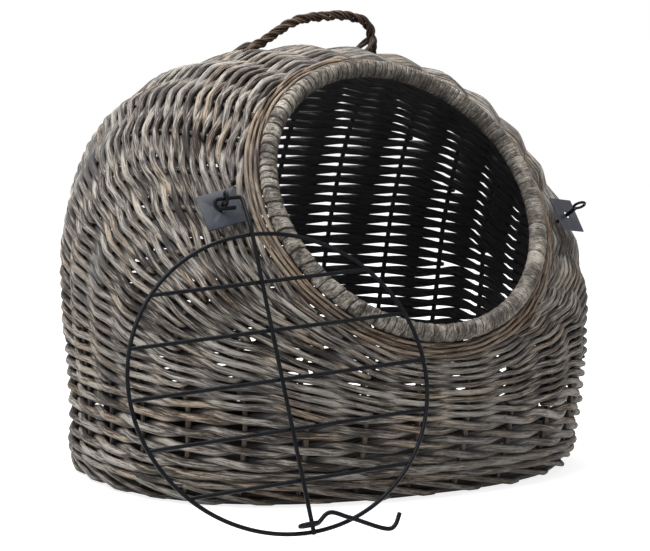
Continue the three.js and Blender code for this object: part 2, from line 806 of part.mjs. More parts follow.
// Main bar: over the crossbars and the ring, then bent into the hinge hairpin in the left eye.
const hairpinGap = wireDiameter * 2.2;
const mainBarPoints = [
  doorPoint(doorRingRadius + wireDiameter / 2, 0, barOut),
  doorPoint(-doorRingRadius - wireDiameter * 2, 0, barOut),
  doorPoint(-hingeSpan, wireDiameter / 2, -hingeSetBack),
  doorPoint(-hingeSpan, -hingeLength, -hingeSetBack),
  doorPoint(-hingeSpan + hairpinGap, -hingeLength, -hingeSetBack),
  doorPoint(-hingeSpan + hairpinGap, -hingeReturn, -hingeSetBack),
];
addPiece('door_main_bar', bentWire(mainBarPoints, wireDiameter, wireDiameter, 6), blackWire);

// Hook: a long loose eye round the main bar's end, then a humped arm with a bent tip.
const hookPivot = doorRingRadius - hookSetBack;

function hookEye() {
  const bends = 6;
  const half = Array.from({ length: bends + 1 }, (_, k) => Math.PI * k / bends);
  const near = half.map((a) => [hookEyeRadius * Math.sin(a), hookEyeRadius * Math.cos(a)]);
  const far = half.map((a) => [
    -hookEyeTail + hookEyeRadius - hookEyeRadius * Math.sin(a), -hookEyeRadius * Math.cos(a)]);
  const axis = doorPoint(1, 0, 0).sub(doorPoint(0, 0, 0));
  const path = [...near, ...far].map(([up, out]) => doorPoint(hookPivot, up, barOut + out));
  const sides = 6;
  const rings = path.map((p, i) => {
    const before = path[(i + path.length - 1) % path.length];
    const after = path[(i + 1) % path.length];
    const other = after.clone().sub(before).normalize().cross(axis);
    return Array.from({ length: sides }, (_, k) => {
      const angle = 2 * Math.PI * k / sides;
      return p.clone()
        .addScaledVector(axis, hookWireDiameter / 2 * Math.cos(angle))
        .addScaledVector(other, hookWireDiameter / 2 * Math.sin(angle));
    });
  });
  return ringBody(rings, true);
}

const hookArm = [
  [0, hookEyeRadius],
  [-hookHump, hookReach * 0.25],
  [0, hookReach * 0.5],
  [hookDip, hookReach],
  [hookDip - 2, hookReach + 5],
  [hookTipRise, hookTipReach],
].map(([along, up]) => doorPoint(hookPivot + along, up, barOut + hookLift * up / hookReach));

addPiece('door_hook', join([hookEye(), smoothRod(hookArm, hookWireDiameter, 6, 20)]), blackWire);

addPiece('left_eye_bolt', eyeBolt(-1, new THREE.Vector3(0, 0, 1)), blackWire);
addPiece('right_eye_bolt', eyeBolt(1, across), blackWire);

export default carrier;
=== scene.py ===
# Wicker pet carrier: woven willow, wrapped rim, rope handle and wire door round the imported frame.
# Metres, +Z up, the front faces -Y, the origin is under the middle of the base.
import bmesh
import bpy
import math
import numpy as np
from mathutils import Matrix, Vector


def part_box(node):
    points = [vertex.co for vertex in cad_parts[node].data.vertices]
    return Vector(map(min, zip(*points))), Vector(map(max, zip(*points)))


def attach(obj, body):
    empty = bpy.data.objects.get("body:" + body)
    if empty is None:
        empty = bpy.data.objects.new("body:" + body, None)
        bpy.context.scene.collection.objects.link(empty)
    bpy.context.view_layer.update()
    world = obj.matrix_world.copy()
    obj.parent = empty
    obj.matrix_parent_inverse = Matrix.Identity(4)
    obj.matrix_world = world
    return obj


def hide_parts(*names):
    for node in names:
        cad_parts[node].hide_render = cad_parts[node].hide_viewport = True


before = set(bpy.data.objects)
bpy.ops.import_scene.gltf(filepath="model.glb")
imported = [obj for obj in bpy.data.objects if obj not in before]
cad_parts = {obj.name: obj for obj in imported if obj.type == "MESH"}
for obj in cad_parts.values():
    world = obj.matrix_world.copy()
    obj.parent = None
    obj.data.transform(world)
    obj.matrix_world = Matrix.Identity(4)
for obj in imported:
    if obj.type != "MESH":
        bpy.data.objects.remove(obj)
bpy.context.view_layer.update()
print("frame loaded:", len(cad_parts), "nodes")

# The camera stands where the photographer's did: front left, a little above the middle.
cameraLook = {
    "azimuth": -28.64,
    "elevation": 3.99,
    "distance": 1.61315,
    "target": (0.00215, 0.00084, 0.18171),
    "lens": 92.03,
    "sensor": 36,
    "clip": (0.05, 30),
}


def addObject(name, data):
    made = bpy.data.objects.new(name, data)
    bpy.context.scene.collection.objects.link(made)
    return made


def makeCamera(look):
    a, e = math.radians(look["azimuth"]), math.radians(look["elevation"])
    back = Vector((math.sin(a) * math.cos(e), -math.cos(a) * math.cos(e), math.sin(e)))
    data = bpy.data.cameras.new("camera")
    data.lens = look["lens"]
    data.sensor_width = look["sensor"]
    data.clip_start, data.clip_end = look["clip"]
    camera = addObject("camera", data)
    camera.location = Vector(look["target"]) + back * look["distance"]
    camera.rotation_euler = (-back).to_track_quat("-Z", "Y").to_euler()
    bpy.context.scene.camera = camera


makeCamera(cameraLook)
print("camera set")


class Wire:
    # An output socket. Arithmetic on it adds Math nodes to its tree.
    def __init__(self, graph, socket):
        self.graph = graph
        self.socket = socket

    def math(self, operation, *values):
        return self.graph.node("ShaderNodeMath", {"operation": operation}, dict(enumerate(values)))

    def __add__(self, other):
        return self.math("ADD", self, other)

    def __radd__(self, other):
        return self.math("ADD", other, self)

    def __sub__(self, other):
        return self.math("SUBTRACT", self, other)

    def __rsub__(self, other):
        return self.math("SUBTRACT", other, self)

    def __mul__(self, other):
        return self.math("MULTIPLY", self, other)

    def __rmul__(self, other):
        return self.math("MULTIPLY", other, self)

    def __truediv__(self, other):
        return self.math("DIVIDE", self, other)

    def __rtruediv__(self, other):
        return self.math("DIVIDE", other, self)

    def __pow__(self, other):
        return self.math("POWER", self, other)

    def of(self, operation):
        return self.math(operation, self)


class Graph:
    # A node tree of either kind. node() adds one node, sets it up, then fills its sockets.
    def __init__(self, tree):
        self.tree = tree

    def find(self, sockets, key):
        if isinstance(key, int):
            return sockets[key]
        named = [socket for socket in sockets if socket.identifier == key]
        return named[0] if named else sockets[key]

    def node(self, kind, settings=None, inputs=None, output=0):
        made = self.tree.nodes.new(kind)
        for key, value in (settings or {}).items():
            if key == "stops":
                self.setStops(made.color_ramp, value)
            else:
                setattr(made, key, value)
        for key, value in (inputs or {}).items():
            socket = self.find(made.inputs, key)
            if isinstance(value, Wire):
                self.tree.links.new(value.socket, socket)
            else:
                socket.default_value = value
        return Wire(self, self.find(made.outputs, output)) if made.outputs else None

    def setStops(self, ramp, stops):
        while len(ramp.elements) < len(stops):
            ramp.elements.new(0.5)
        for element, (place, colour) in zip(ramp.elements, stops):
            element.position = place
            element.color = opaque(colour)

    def vector(self, x, y, z):
        return self.node("ShaderNodeCombineXYZ", inputs={0: x, 1: y, 2: z})

    def vectorMath(self, operation, first, second):
        key = "Scale" if operation == "SCALE" else 1
        return self.node("ShaderNodeVectorMath", {"operation": operation}, {0: first, key: second})

    def mix(self, factor, first, second, blend="MIX"):
        return self.node("ShaderNodeMix", {"data_type": "RGBA", "blend_type": blend},
                         {"Factor_Float": factor, "A_Color": first, "B_Color": second}, "Result_Color")

    def noise(self, vector, scale, detail=2, roughness=0.5):
        return self.node("ShaderNodeTexNoise", None,
                         {"Vector": vector, "Scale": scale, "Detail": detail, "Roughness": roughness})

    def ramp(self, value, stops):
        return self.node("ShaderNodeValToRGB", {"stops": stops}, {0: value})

    def mask(self, value, low, high):
        # 0 below low, 1 above high
        return self.node("ShaderNodeMapRange", {"interpolation_type": "SMOOTHSTEP"},
                         {"Value": value, "From Min": low, "From Max": high})

    def attribute(self, name, output="Fac"):
        return self.node("ShaderNodeAttribute", {"attribute_name": name}, None, output)

    def read(self, name, kind="FLOAT"):
        return self.node("GeometryNodeInputNamedAttribute", {"data_type": kind}, {"Name": name})

    def store(self, geometry, name, value, kind="FLOAT"):
        return self.node("GeometryNodeStoreNamedAttribute", {"data_type": kind, "domain": "POINT"},
                         {"Geometry": geometry, "Name": name, "Value": value})


def opaque(colour):
    return (*colour, 1)


# The wall's shape, as in the part's source.
wall = {
    "footHalfWidth": 0.239, "footFrontReach": 0.198, "footBackReach": 0.208, "footSquareness": 2.4,
    "bandHeight": 0.088, "bandHalfWidth": 0.241, "bandFrontReach": 0.224, "bandBackReach": 0.222,
    "backShoulderReach": 0.180, "backShoulderHeight": 0.343,
    "domeShoulderReach": 0.090, "domeShoulderHeight": 0.454, "chinHeight": 0.122,
    "sideBulgeLow": 0.2615, "sideBulgeHigh": 0.245, "sideLag": 0.112, "lagRate": 5,
    "wallSquareness": 3.0,
    "tilt": math.radians(30.2), "openingForward": 0.155, "openingHeight": 0.2615,
    "rimRadius": 0.1333, "rimThickness": 0.016, "bandShare": 0.16,
    "stakes": 26, "crowding": 0.15, "stakeInset": 0.0082, "thickness": 0.0164,
    "rimClear": 0.0084, "collarWidth": 0.013,
}
upOpening = np.array([0, math.sin(wall["tilt"]), math.cos(wall["tilt"])])
outOpening = np.array([0, -math.cos(wall["tilt"]), math.sin(wall["tilt"])])
openingCentre = np.array([0, -wall["openingForward"], wall["openingHeight"]])
interval = 2 * math.pi / wall["stakes"]


def unit(v):
    return v / np.linalg.norm(v, axis=-1, keepdims=True)


def blend(a, b, t):
    return a * (1 - t) + b * t


def smooth(t):
    t = np.clip(t, 0, 1)
    return t * t * (3 - 2 * t)


def bezier(values, t):
    values = list(values)
    while len(values) > 1:
        values = [blend(a, b, t) for a, b in zip(values, values[1:])]
    return values[0]


def roundAngles(count):
    return np.arange(count) / count * 2 * math.pi


def lengthAlong(path):
    return np.concatenate([[0], np.cumsum(np.linalg.norm(np.diff(path, axis=0), axis=1))])


def inOpening(x, up, out):
    x, up, out = (np.asarray(v, float)[..., None] for v in (x, up, out))
    return openingCentre + x * np.array([1, 0, 0]) + up * upOpening + out * outOpening


def outerPoint(level, turn):
    # A point on the wall's outside. level runs from 0 at the floor to 1 at the rim, turn from the back.
    level, turn = np.broadcast_arrays(np.asarray(level, float), np.asarray(turn, float))
    w, share = wall, wall["bandShare"]
    end = w["rimRadius"] + w["rimThickness"] / 2
    top, bottom = inOpening(0, end, 0), inOpening(0, -end, 0)
    t = np.clip(level / share, 0, 1)
    ease = t * (2 - t)
    s = np.clip((level - share) / (1 - share), 0, 1)
    low, height = level < share, w["bandHeight"] * t

    def upWall(inBand, *corners):
        return np.where(low, inBand, bezier(corners, s))

    backY = upWall(blend(w["footBackReach"], w["bandBackReach"], ease),
                   w["bandBackReach"], w["backShoulderReach"], w["domeShoulderReach"], top[1])
    backZ = upWall(height, w["bandHeight"], w["backShoulderHeight"], w["domeShoulderHeight"], top[2])
    frontY = upWall(-blend(w["footFrontReach"], w["bandFrontReach"], ease),
                    -w["bandFrontReach"], -w["bandFrontReach"], bottom[1])
    frontZ = upWall(height, w["bandHeight"], w["chinHeight"], bottom[2])
    side = upWall(blend(w["footHalfWidth"], w["bandHalfWidth"], ease),
                  w["bandHalfWidth"], w["sideBulgeLow"], w["sideBulgeHigh"], end)
    lagging = np.clip((level - share) * w["lagRate"], 0, 1)
    lag = np.where(low, 0, w["sideLag"] * 4 * level * (1 - level) * lagging)
    power = bezier([w["footSquareness"], w["wallSquareness"], 2], level)
    angle = turn + w["crowding"] * np.sin(turn)
    sn, cs = np.sin(angle), np.cos(angle)
    swell = (np.abs(sn) ** power + np.abs(cs) ** power) ** (-1 / power)
    sx = sn * swell
    cy = cs * swell + lag * sx * sx
    return np.stack([side * sx, (backY + frontY) / 2 + (backY - frontY) / 2 * cy,
                     (backZ + frontZ) / 2 + (backZ - frontZ) / 2 * cy], -1)


def outwardNormal(level, turn):
    step = 1e-3
    rise = outerPoint(np.minimum(1, level + step), turn) - outerPoint(np.maximum(0, level - step), turn)
    ahead = outerPoint(level, turn + step) - outerPoint(level, turn - step)
    normal = unit(np.cross(rise, ahead))
    share = wall["bandShare"]
    normal[..., 2] *= np.clip((level - share / 2) / share, 0, 1)
    return unit(normal)


def wallPoint(level, turn, inset):
    level, turn = np.broadcast_arrays(np.asarray(level, float), np.asarray(turn, float))
    return outerPoint(level, turn) - outwardNormal(level, turn) * np.asarray(inset, float)[..., None]


def levelOfHeight(z):
    return wall["bandShare"] * z / wall["bandHeight"]


def rimDistance(p):
    offset = p - openingCentre
    radial = np.hypot(offset[..., 0], offset @ upOpening)
    return np.hypot(radial - wall["rimRadius"], offset @ outOpening)


def levelBesideRim(turn, inset, distance, halvings=26):
    # The highest level that keeps a distance from the rim's centre line, found by halving.
    low = np.full(np.shape(turn), wall["bandShare"])
    high = np.ones(np.shape(turn))
    for _ in range(halvings):
        middle = (low + high) / 2
        clear = rimDistance(wallPoint(middle, turn, inset)) > distance
        low, high = np.where(clear, middle, low), np.where(clear, high, middle)
    return low


# Geometry Nodes trees share their sockets, their profile and their end.
def startTree(name, inputs):
    tree = bpy.data.node_groups.new(name, "GeometryNodeTree")
    for label, kind, value in [("Geometry", "Geometry", None)] + inputs:
        made = tree.interface.new_socket(label, in_out="INPUT", socket_type="NodeSocket" + kind)
        if value is not None:
            made.default_value = value
    tree.interface.new_socket("Geometry", in_out="OUTPUT", socket_type="NodeSocketGeometry")
    g = Graph(tree)
    entry = tree.nodes.new("NodeGroupInput")
    return g, {socket.name: Wire(g, socket) for socket in entry.outputs if socket.name}


def ringProfile(g, sides):
    # A unit circle that keeps its own places as the attribute ring.
    circle = g.node("GeometryNodeCurvePrimitiveCircle", None, {"Resolution": sides, "Radius": 1.0})
    return g.store(circle, "ring", g.node("GeometryNodeInputPosition"), "FLOAT_VECTOR")


def facingOut(g):
    # 1 where the surface faces the way that the guide's out points
    return g.node("ShaderNodeVectorMath", {"operation": "DOT_PRODUCT"},
                  {0: g.node("GeometryNodeInputNormal"), 1: g.read("out", "FLOAT_VECTOR")}, "Value")


def endTree(g, geometry, material):
    geometry = g.node("GeometryNodeSetShadeSmooth", None, {"Geometry": geometry})
    geometry = g.node("GeometryNodeRealizeInstances", None, {"Geometry": geometry})
    geometry = g.node("GeometryNodeSetMaterial", None, {"Geometry": geometry, "Material": material})
    leave = g.tree.nodes.new("NodeGroupOutput")
    g.tree.links.new(geometry.socket, leave.inputs["Geometry"])
    return g.tree


rodInputs = [
    ("Sides", "Int", 10),
    ("Wobble", "Float", 0.0),
    ("Wobble Size", "Float", 25.0),
    ("Bend", "Float", 0.2),              # near 1: straight runs with sharp bends at the crossings
    ("Seed", "Int", 1),
    ("Material", "Material", None),
]


def makeRodTree():
    # Tubes along guide lines. Each line swings out and up in waves round its own middle.
    g, given = startTree("willowRods", rodInputs)

    def bent(wave):
        return (wave * given["Bend"]).of("ARCSINE") / given["Bend"].of("ARCSINE")

    swing = g.read("phase") * math.pi
    over, rise = bent(swing.of("COSINE")), bent(swing.of("SINE"))
    sideways = g.vectorMath("SCALE", g.read("out", "FLOAT_VECTOR"), g.read("depth") * over)
    upwards = g.vectorMath("SCALE", g.read("up", "FLOAT_VECTOR"), g.read("lift") * rise)
    own = g.read("shade") * 40 + given["Seed"] * 3.7
    rough = g.node("ShaderNodeTexNoise", {"noise_dimensions": "4D"},
                   {"Vector": g.node("GeometryNodeInputPosition"), "W": own,
                    "Scale": given["Wobble Size"], "Detail": 1.0}, "Color")
    rough = g.vectorMath("SCALE", g.vectorMath("SUBTRACT", rough, (0.5, 0.5, 0.5)), given["Wobble"])
    offset = g.vectorMath("ADD", g.vectorMath("ADD", sideways, upwards), rough)
    # how far each part of a rod lies on the wall's inner side; the willow is darkened there, partly the
    # wood's darker stain and partly painted shade
    inside = g.read("innerBase") - 0.5 * (g.read("facing") * over)
    lines = g.store(given["Geometry"], "inside", inside)
    lines = g.node("GeometryNodeSetPosition", None, {"Geometry": lines, "Offset": offset})
    curve = g.node("GeometryNodeMeshToCurve", None, {"Mesh": lines})
    tubes = g.node("GeometryNodeCurveToMesh", None,
                   {"Curve": curve, "Profile Curve": ringProfile(g, given["Sides"]),
                    "Scale": g.read("girth"), "Fill Caps": True})
    return endTree(g, g.store(tubes, "crest", facingOut(g)), given["Material"])


rodTree = makeRodTree()
guideVectors = ("out", "up")
# facing and innerBase set how far a rod counts as inside, for that stain and painted shade
guideNumbers = ("phase", "depth", "lift", "girth", "shade", "facing", "innerBase")


def rod(points, girth, closed=False, **more):
    # One guide line. Anything left out is plain: no twist, no colour of its own.
    points = np.asarray(points, float)
    count = len(points)
    line = {"points": points, "closed": closed, "along": lengthAlong(points)}
    for key in guideVectors:
        line[key] = np.broadcast_to(np.asarray(more.get(key, (0, 0, 1)), float), (count, 3))
    for key in guideNumbers:
        value = girth if key == "girth" else more.get(key, 0)
        line[key] = np.broadcast_to(np.asarray(value, float), (count,))
    return line


def putAttribute(mesh, name, values):
    values = np.asarray(values, np.float32)
    kind, field = ("FLOAT", "value") if values.ndim == 1 else ("FLOAT_VECTOR", "vector")
    mesh.attributes.new(name, kind, "POINT").data.foreach_set(field, values.ravel())


def guideMesh(name, rods):
    mesh = bpy.data.meshes.new(name + "Guide")
    points = np.concatenate([line["points"] for line in rods])
    edges, first = [], 0
    for line in rods:
        ids = np.arange(first, first + len(line["points"]))
        edges.append(np.stack([ids[:-1], ids[1:]], 1))
        if line["closed"]:
            edges.append(np.array([[ids[-1], ids[0]]]))
        first += len(ids)
    mesh.from_pydata(points.tolist(), np.concatenate(edges).tolist(), [])
    for key in (*guideVectors, *guideNumbers, "along"):
        putAttribute(mesh, key, np.concatenate([line[key] for line in rods]))
    return mesh


def evaluated(name, guide, tree, settings, dropped):
    # Runs a tree on a guide mesh and keeps the result as a plain mesh object.
    source = addObject(name + "Guide", guide)
    modifier = source.modifiers.new("grow", "NODES")
    modifier.node_group = tree
    for item in tree.interface.items_tree:
        if item.in_out == "INPUT" and item.name in settings:
            modifier[item.identifier] = settings[item.name]
    depsgraph = bpy.context.evaluated_depsgraph_get()
    mesh = bpy.data.meshes.new_from_object(
        source.evaluated_get(depsgraph), preserve_all_data_layers=True, depsgraph=depsgraph)
    source.modifiers.remove(modifier)
    bpy.data.objects.remove(source)
    for key in dropped:
        if key in mesh.attributes:
            mesh.attributes.remove(mesh.attributes[key])
    mesh.name = name
    return addObject(name, mesh)


def chosen(inputs, look, material):
    # A tree's input such as Wobble Size takes the look's wobbleSize, or else its usual value.
    settings = {label: look.get(label[0].lower() + label[1:].replace(" ", ""), value)
                for label, kind, value in inputs}
    return dict(settings, Material=material)


def grow(name, rods, material, look):
    settings = chosen(rodInputs, look, material)
    unused = [key for key in guideVectors + guideNumbers if key != "shade"]
    piece = evaluated(name, guideMesh(name, rods), rodTree, settings, unused)
    print(name, len(rods), "rods,", sum(len(p.vertices) - 2 for p in piece.data.polygons), "triangles")
    return piece


def wear(piece, body, slot, *nodes):
    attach(piece, body)
    if nodes:
        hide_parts(*nodes)


# Materials. Each look names its colours, sizes and shares. A range runs from no effect to full effect.
def newMaterial(name):
    material = bpy.data.materials.new(name)
    material.use_nodes = True
    material.node_tree.nodes.clear()
    return material, Graph(material.node_tree)


def finishSurface(g, sockets, height, strength, distance):
    bump = g.node("ShaderNodeBump", None,
                  {"Height": height, "Strength": strength, "Distance": distance})
    surface = g.node("ShaderNodeBsdfPrincipled", None, dict(sockets, Normal=bump))
    g.node("ShaderNodeOutputMaterial", None, {"Surface": surface})


def makeWillow(name, look):
    # Weathered willow: fibres along the rods, pale worn crests, stain and painted shade in the hollows.
    material, g = newMaterial(name)
    along, shade, inside, crest = (g.attribute(key) for key in ("along", "shade", "inside", "crest"))
    ring = g.attribute("ring", "Vector")
    # the ring's x and y go to y and z, so that fibres run along x
    across = g.node("ShaderNodeVectorRotate", {"rotation_type": "AXIS_ANGLE"},
                    {"Vector": ring, "Axis": (0.577, 0.577, 0.577), "Angle": math.radians(120)})

    # shade takes each rod to a part of the noise of its own
    def fibres(length, width, detail):
        start = g.vector(along * length + shade * 57.0, 0.0, 0.0)
        fibre = g.vectorMath("ADD", g.vectorMath("SCALE", across, width), start)
        return g.noise(fibre, 1.0, detail, 0.65)

    def cover(colour, where, span, share, other, mode="MIX"):
        return g.mix(g.mask(where, *look[span]) * look[share], colour, opaque(look[other]), mode)

    place = g.node("ShaderNodeTexCoord", None, None, "Object")
    streak = fibres(look["streakLength"], look["streakWidth"], 4.0)
    hair = fibres(look["streakLength"] * 2.0, look["streakWidth"] * 2.8, 3.0)
    own = g.noise(g.vector(along * look["ownLength"] + shade * 31.0, shade * 77.0, 0.0), 1.0, 2.0)
    patch = g.noise(place, look["patchSize"], 3.0, 0.55)
    speck = g.noise(place, look["speckSize"], 4.0, 0.65)
    sunned = g.noise(g.vector(along * look["sunnedLength"], shade * 53.0, 4.0), 1.0, 2.0)
    tone = (streak - 0.5) * look["streaks"] + (hair - 0.5) * look["hairs"]
    tone = 0.5 + look["contrast"] * (tone + (own - 0.5) * look["ownTone"])
    # wear makes the crests facing out paler, and painted shade makes the sides facing in darker
    tone = tone + look["wear"] * (g.mask(crest, *look["crestRange"]) - look["crestMiddle"])
    colour = g.ramp(tone, look["stops"])
    colour = cover(colour, patch, "patchRange", "weather", "weathered")
    colour = cover(colour, sunned, "sunnedRange", "warmth", "warm", "MULTIPLY")
    colour = cover(colour, hair, "crackRange", "cracks", "speckColour")
    colour = cover(colour, speck, "speckRange", "specks", "speckColour")
    # painted shade together with the wood's darker stain: the inner colour covers the sides facing in
    # and the rods inside the wall
    stainAndPaintedShade = inside.math("MAXIMUM", inside, g.mask(0.0 - crest, *look["hollowRange"]))
    colour = cover(colour, stainAndPaintedShade, "insideRange", "innerShade", "inner")
    rough = look["roughness"] + look["roughSpread"] * (hair - 0.5)
    finishSurface(g, {"Base Color": colour, "Roughness": rough, "Specular IOR Level": look["gloss"]},
                  streak + hair * 0.7 + speck * 0.4, look["bump"], look["bumpDepth"])
    return material


willowLook = {
    "streakLength": 38.0, "streakWidth": 1.4, "ownLength": 7.0, "sunnedLength": 5.0,
    "patchSize": 13.0, "speckSize": 260.0,
    "contrast": 1.75, "streaks": 0.8, "hairs": 1.25, "ownTone": 0.9,
    # wear: paler crests from wear, with painted shade on the sides facing in
    "wear": 0.17, "crestRange": (-0.1, 0.95), "crestMiddle": 0.55,
    "weather": 0.45, "patchRange": (0.42, 0.66), "weathered": (0.148, 0.145, 0.144),
    "warmth": 0.55, "sunnedRange": (0.50, 0.66), "warm": (1.10, 0.90, 0.68),
    "cracks": 0.7, "crackRange": (0.40, 0.30),
    "specks": 0.65, "speckRange": (0.58, 0.72), "speckColour": (0.018, 0.014, 0.011),
    # innerShade, hollowRange, insideRange and inner: the darkening inside, partly the wood's stain and
    # partly painted shade
    "innerShade": 0.95, "hollowRange": (0.0, 0.5), "insideRange": (0.45, 0.95),
    "inner": (0.0800, 0.0775, 0.0860),
    "roughness": 0.66, "roughSpread": 0.3, "gloss": 0.22, "bump": 0.75, "bumpDepth": 0.0009,
    "stops": [(0.22, (0.020, 0.016, 0.014)), (0.38, (0.066, 0.054, 0.045)),
              (0.52, (0.146, 0.126, 0.110)), (0.66, (0.258, 0.232, 0.204)),
              (0.84, (0.430, 0.400, 0.358))],
}
warmLook = dict(willowLook, weather=0.3, stops=[
    (0.22, (0.028, 0.018, 0.013)), (0.40, (0.098, 0.067, 0.047)),
    (0.56, (0.205, 0.148, 0.106)), (0.74, (0.380, 0.300, 0.228))])
stakeLook = dict(willowLook, weather=0.20, stops=[
    (0.30, (0.018, 0.014, 0.011)), (0.50, (0.070, 0.055, 0.043)), (0.72, (0.190, 0.155, 0.122))])
# near-black bark for rods seen only through gaps, behind the border and in the base: painted shade
corePaintedShadeLook = dict(willowLook, weather=0.10, wear=0.0, inner=(0.0140, 0.0130, 0.0145), stops=[
    (0.30, (0.006, 0.005, 0.004)), (0.50, (0.014, 0.011, 0.009)), (0.72, (0.040, 0.031, 0.025))])
ropeLook = dict(willowLook, weather=0.15, wear=0.0, innerShade=0.0, streakWidth=1.2, stops=[
    (0.26, (0.010, 0.006, 0.005)), (0.46, (0.036, 0.021, 0.014)), (0.62, (0.085, 0.052, 0.034)),
    (0.80, (0.190, 0.125, 0.085))])
# its inner colour, painted shade with the wood's stain, is darker than the weave's
borderBarkLook = dict(willowLook, weather=0.4, inner=(0.0200, 0.0190, 0.0205), stops=[
    (0.22, (0.018, 0.015, 0.013)), (0.38, (0.058, 0.048, 0.041)),
    (0.52, (0.128, 0.110, 0.095)), (0.66, (0.235, 0.209, 0.182)), (0.84, (0.400, 0.368, 0.328))])
willowBark = makeWillow("willowBark", willowLook)
warmBark = makeWillow("warmBark", warmLook)
stakeBark = makeWillow("stakeBark", stakeLook)
corePaintedShadeBark = makeWillow("corePaintedShadeBark", corePaintedShadeLook)
ropeBark = makeWillow("ropeBark", ropeLook)
borderBark = makeWillow("borderBark", borderBarkLook)


def makeMetal(name, look):
    material, g = newMaterial(name)
    place = g.node("ShaderNodeTexCoord", None, None, "Object")
    blotch = g.noise(place, look["blotchSize"], 4.0, 0.6)
    fine = g.noise(place, look["fineSize"], 2.0, 0.5)
    colour = g.ramp(blotch, look["stops"])
    rough = look["roughness"] + look["roughSpread"] * (blotch - 0.5)
    sockets = {"Base Color": colour, "Roughness": rough, "Metallic": look["metallic"],
               "Specular IOR Level": look["gloss"]}
    finishSurface(g, sockets, fine + blotch, look["bump"], look["bumpDepth"])
    return material


blackWireLook = {
    "blotchSize": 90.0, "fineSize": 900.0, "roughness": 0.30, "roughSpread": 0.25, "metallic": 0.0,
    "gloss": 0.09, "bump": 0.25, "bumpDepth": 0.0002,
    "stops": [(0.35, (0.003, 0.0035, 0.005)), (0.65, (0.007, 0.008, 0.011))],
}
blueSteelLook = dict(
    blackWireLook, blotchSize=70.0, roughness=0.48, roughSpread=0.35, gloss=0.25,
    stops=[(0.35, (0.012, 0.014, 0.021)), (0.55, (0.026, 0.030, 0.043)), (0.7, (0.050, 0.056, 0.072))])
zincLook = dict(
    blackWireLook, blotchSize=120.0, roughness=0.38, roughSpread=0.3, metallic=1.0, gloss=0.5,
    stops=[(0.35, (0.30, 0.30, 0.31)), (0.65, (0.46, 0.46, 0.45))])
blackWire = makeMetal("satinBlackWire", blackWireLook)
blueSteel = makeMetal("bluedSteel", blueSteelLook)
zincSteel = makeMetal("zincSteel", zincLook)
print("materials made")


# Pairing weave: two rods twist round each other between the stakes. Angles count from the back.
weaveLook = {
    "steps": 12,                      # guide points in each interval between stakes
    "bottom": 0.0314,                 # the weave starts on top of the upsett
    "rimGap": 0.0004, "tableRows": 240, "fineRows": 400,
    "bandPairs": 4, "bandPitch": 0.0138, "bandEnd": 150.0,
    "angles": (0, 50, 90, 130, 180),
    "pitches": (0.0113, 0.0110, 0.0100, 0.0084, 0.0061),
    "fills": (0.66, 0.65, 0.64, 0.68, 0.73),     # how much of a row's height a rod takes
    "lifts": (0.86, 0.87, 0.92, 1.0, 1.0),       # how far the rods of a pair part between stakes
    "thickestRod": 0.0074, "thickestBandRod": 0.0075, "uneven": 0.14,
    "closer": 1.05,                   # how much closer the rows lie near the rim than at the band
    "leastRoom": 0.6,                 # of a row's usual room, where it runs out
    "stakeRoom": 0.0022, "reach": 0.85,
    "steepFrom": 0.5, "steepOver": 0.4, "leastTilt": 0.2,
    "wobble": 0.0009, "wobbleSize": 30.0, "bend": 0.985, "seed": 7, "pieceLimit": 180000,
}


def wallTable(turns, topLevel, look):
    # Points at equal distances up the wall for each turn, with their normals and upward directions.
    turns, inset = turns[:, None], wall["stakeInset"]
    share = np.linspace(0, 1, look["fineRows"])
    levels = blend(levelOfHeight(look["bottom"]), topLevel[:, None], share)
    length = np.array([lengthAlong(path) for path in wallPoint(levels, turns, inset)])
    share = np.linspace(0, 1, look["tableRows"])
    even = np.stack([np.interp(share * way[-1], way, level) for way, level in zip(length, levels)])
    points, normals = wallPoint(even, turns, inset), outwardNormal(even, turns)
    ups = np.gradient(points, axis=1)
    ups = unit(ups - normals * np.sum(ups * normals, -1, keepdims=True))
    return {"points": points, "out": normals, "up": ups, "length": length[:, -1]}


def readTable(table, columns, share):
    last = table["points"].shape[1] - 1
    place = np.clip(share, 0, 1) * last
    low = np.minimum(place.astype(int), last - 1)
    part = (place - low)[:, None]
    return [blend(table[key][columns, low], table[key][columns, low + 1], part)
            for key in ("points", "out", "up")]


def weaveRows(look):
    # Where each pair of rods runs. Rows that find no room at the low front turn back before it.
    columns = np.arange(look["steps"] * wall["stakes"])
    turns = columns / look["steps"] * interval
    away = np.abs((turns + math.pi) % (2 * math.pi) - math.pi)
    top = levelBesideRim(turns, 0.0, wall["rimClear"] + wall["collarWidth"] + look["rimGap"])
    table = wallTable(turns, top, look)
    pitch = np.interp(np.degrees(away), look["angles"], look["pitches"])
    bandPairs, bandEnd = look["bandPairs"], math.radians(look["bandEnd"])
    bandCount = bandPairs - smooth((away - bandEnd) / interval + 0.5)
    wanted = (table["length"] - bandCount * look["bandPitch"]) / pitch
    pairs = int(wanted.max() + 0.5)
    # steps of the golden ratio spread the short rows evenly among the others
    order = np.argsort(np.argsort((np.arange(pairs) * 0.618034) % 1))
    weights = [np.full(len(turns), look["bandPitch"])] * bandPairs + [pitch] * pairs
    ends = [None] * (bandPairs - 1) + [bandEnd]
    for place in order:
        short = away[wanted < place + 0.5]
        ends.append(short.min() if len(short) else None)
    for m, end in enumerate(ends):
        if end is not None:
            # the row turns back round the nearest stake
            ends[m] = end = (round(end / interval - 0.5) + 0.5) * interval
            weights[m] = weights[m] * (1 - smooth((away - end) / interval + 0.5))
    weights = np.array(weights)
    total = weights.sum(0)
    below = np.cumsum(weights, 0) - weights
    edges = np.concatenate([below, total[None]], 0) / total
    band = edges[bandPairs]
    up = np.clip((edges - band) / (1 - band), 0, 1)
    edges = np.where(edges > band, band + (1 - band) * (1 - (1 - up) ** look["closer"]), edges)
    return {"columns": columns, "away": away, "table": table, "centres": (edges[1:] + edges[:-1]) / 2,
            "room": (edges[1:] - edges[:-1]) * table["length"], "ends": ends}


